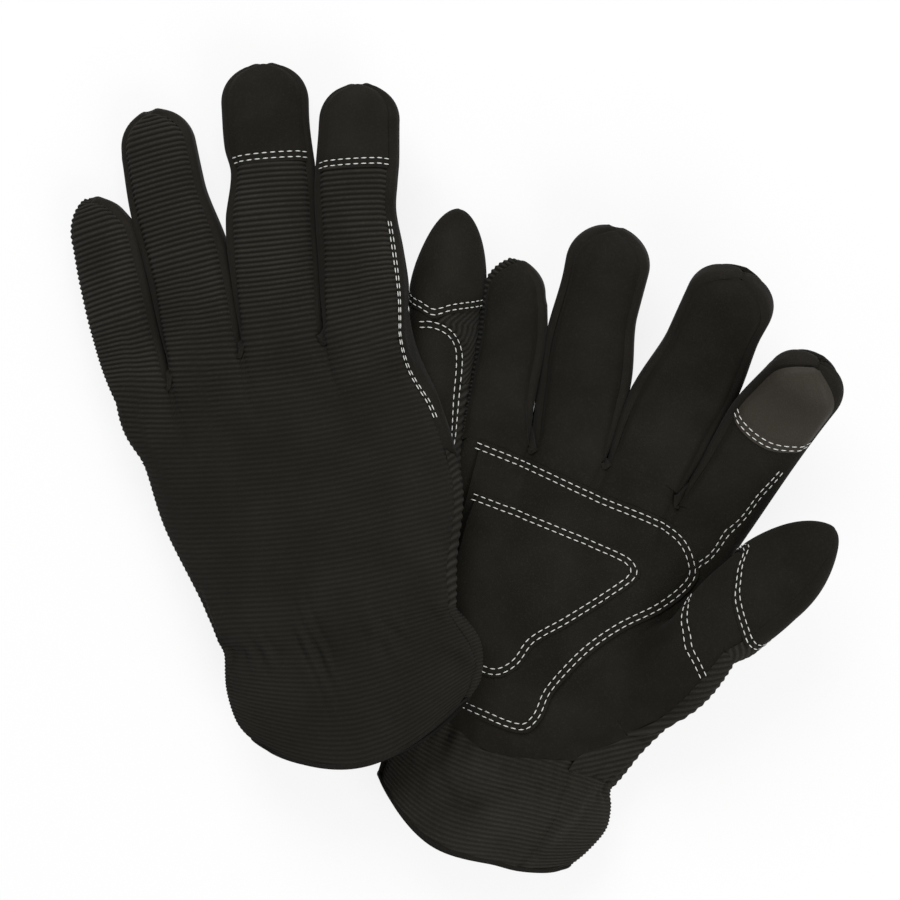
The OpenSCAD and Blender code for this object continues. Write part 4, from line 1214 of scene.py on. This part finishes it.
# Lines of thread on the thumb and the index finger: angle round it and place along it
thumb_base_row = [(316, -11), (296, -9.8), (278, -8.8), (265, -6.5), (245, -4.3), (219, -0.8), (201, 1.5), (196, 2.4)]
thumb_arch_row = [(166, 19.2), (158, 19.6), (131, 19), (110, 16.7), (97, 12.7), (92, 6.7), (90, -4),
                  (86, -16), (88, -21)]
index_back_row = [(37, 34), (37, 0)]
index_front_row = [(316, 38.2), (309, 26), (298, 13.5), (285, 2.5), (283, 0)]
index_front_hand = [(77, 317), (82.7, 318.5), (86, 323.5), (90.7, 327.5)]
mm_per_degree = 0.23
# Degrees to a millimetre on the index finger, at the thumb seam and on the palm
finger_turn, seam_turn, palm_turn = 3.4, 2.0, 1.7
index_back_run = 38.0

for side in SIDES:
    scale = hand_reach[side]/hand_reach["right"]
    straight = straight_part(side, "index")
    for d in (-row_gap, row_gap):
        for row in (thumb_base_row, thumb_arch_row):
            path = aside_path(even_path(np.array(row)*(mm_per_degree, 1), 90), d)
            stall_thread[side, "thumb"].append(thumb_at(side, path[:, 0]/mm_per_degree, path[:, 1], 0.3))
        path = even_path(np.array(index_back_row), 40)
        finger = stall_point(side, "index", path[:, 0] + finger_turn*d, path[:, 1]/straight)
        top = root_angles(side, [("index", index_back_row[-1][0] + finger_turn*d)])[0]
        y = np.linspace(hand_reach[side], hand_reach[side] - index_back_run, 40)
        ease = smooth((y - hand_reach[side] + root_zone)/root_zone)
        hand = hand_point(side, lerp(thumb_seam(y) - 3 + seam_turn*d, top, ease), y)
        stall_thread[side, "index"].append(np.concatenate([finger, hand[1:]]))
        path = even_path(np.array(index_front_row)*(mm_per_degree, 1), 50)
        finger = stall_point(side, "index", (path[:, 0] + d)/mm_per_degree, path[:, 1]/straight)
        top = root_angles(side, [("index", index_front_row[-1][0] + d/mm_per_degree)])[0]
        y = np.linspace(hand_reach[side], index_front_hand[0][0]*scale, 30)
        line = index_front_hand + [(hand_reach["right"], top - palm_turn*d)]
        hand = hand_point(side, curve(line, y/scale) + palm_turn*d, y)
        stall_thread[side, "index"].append(np.concatenate([finger, hand[1:]]))
    made_rows = sew(side + "_palm_stitches", side, hand_thread[side])
    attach(made_rows, side + "_hand")
    for i in ("index", "middle", "thumb"):
        made_rows = sew(side + "_" + i + "_stitches", side, stall_thread[side, i])
        bends(made_rows)


# The table and the light: a white sheet under the gloves, broad soft lamps from above and a long lens
# looking straight down, as in a catalogue picture. The sheet looks white to the camera and keeps the shadow.
sheet_height = -0.0012
floor_mesh = bpy.data.meshes.new("table_sheet")
floor_mesh.from_pydata([(x, y, sheet_height) for x, y in ((-3, -3), (3, -3), (3, 3), (-3, 3))], [], [(0, 1, 2, 3)])
floor = bpy.data.objects.new("table_sheet", floor_mesh)
bpy.context.collection.objects.link(floor)
sheet_paper, tree, shader = new_material("white_sheet", (0.8, 0.8, 0.8), 0.9, 0.1)
glow = add_node(tree, "ShaderNodeEmission", {"Color": (1, 1, 1, 1), "Strength": 1.0})
path = add_node(tree, "ShaderNodeLightPath")
seen = math(tree, "MAXIMUM", math(tree, "MAXIMUM", path.outputs["Is Camera Ray"], path.outputs["Is Glossy Ray"]),
            path.outputs["Is Transmission Ray"])
blend = add_node(tree, "ShaderNodeMixShader",
                 {0: math(tree, "MULTIPLY", seen, 0.85), 1: shader.outputs[0], 2: glow.outputs[0]})
tree.links.new(blend.outputs[0], tree.nodes["Material Output"].inputs["Surface"])
floor_mesh.materials.append(sheet_paper)

world = bpy.data.worlds.new("studio")
bpy.context.scene.world = world
world.use_nodes = True
world.node_tree.nodes["Background"].inputs["Color"].default_value = (1, 1, 1, 1)
world.node_tree.nodes["Background"].inputs["Strength"].default_value = 0.45

for name, spot, size, power in (("soft_top", (-0.25, 1.25, 1.25), 1.1, 24.0),
                                ("soft_front", (0.75, -1.0, 1.1), 1.0, 15.0)):
    lamp = bpy.data.lights.new(name, "AREA")
    lamp.size = size
    lamp.energy = power
    light = bpy.data.objects.new(name, lamp)
    light.location = spot
    bpy.context.collection.objects.link(light)
    aim = Vector((0, 0, 0.02)) - Vector(spot)
    light.rotation_euler = aim.to_track_quat("-Z", "Y").to_euler()

lens = bpy.data.cameras.new("camera")
lens.lens = 200
lens.sensor_width = 36
camera = bpy.data.objects.new("camera", lens)
camera.location = (-0.002, 0.0087, 1.806)
camera.rotation_euler = (0, 0, 0)
bpy.context.collection.objects.link(camera)
bpy.context.scene.camera = camera
bpy.context.scene.view_settings.view_transform = "Standard"
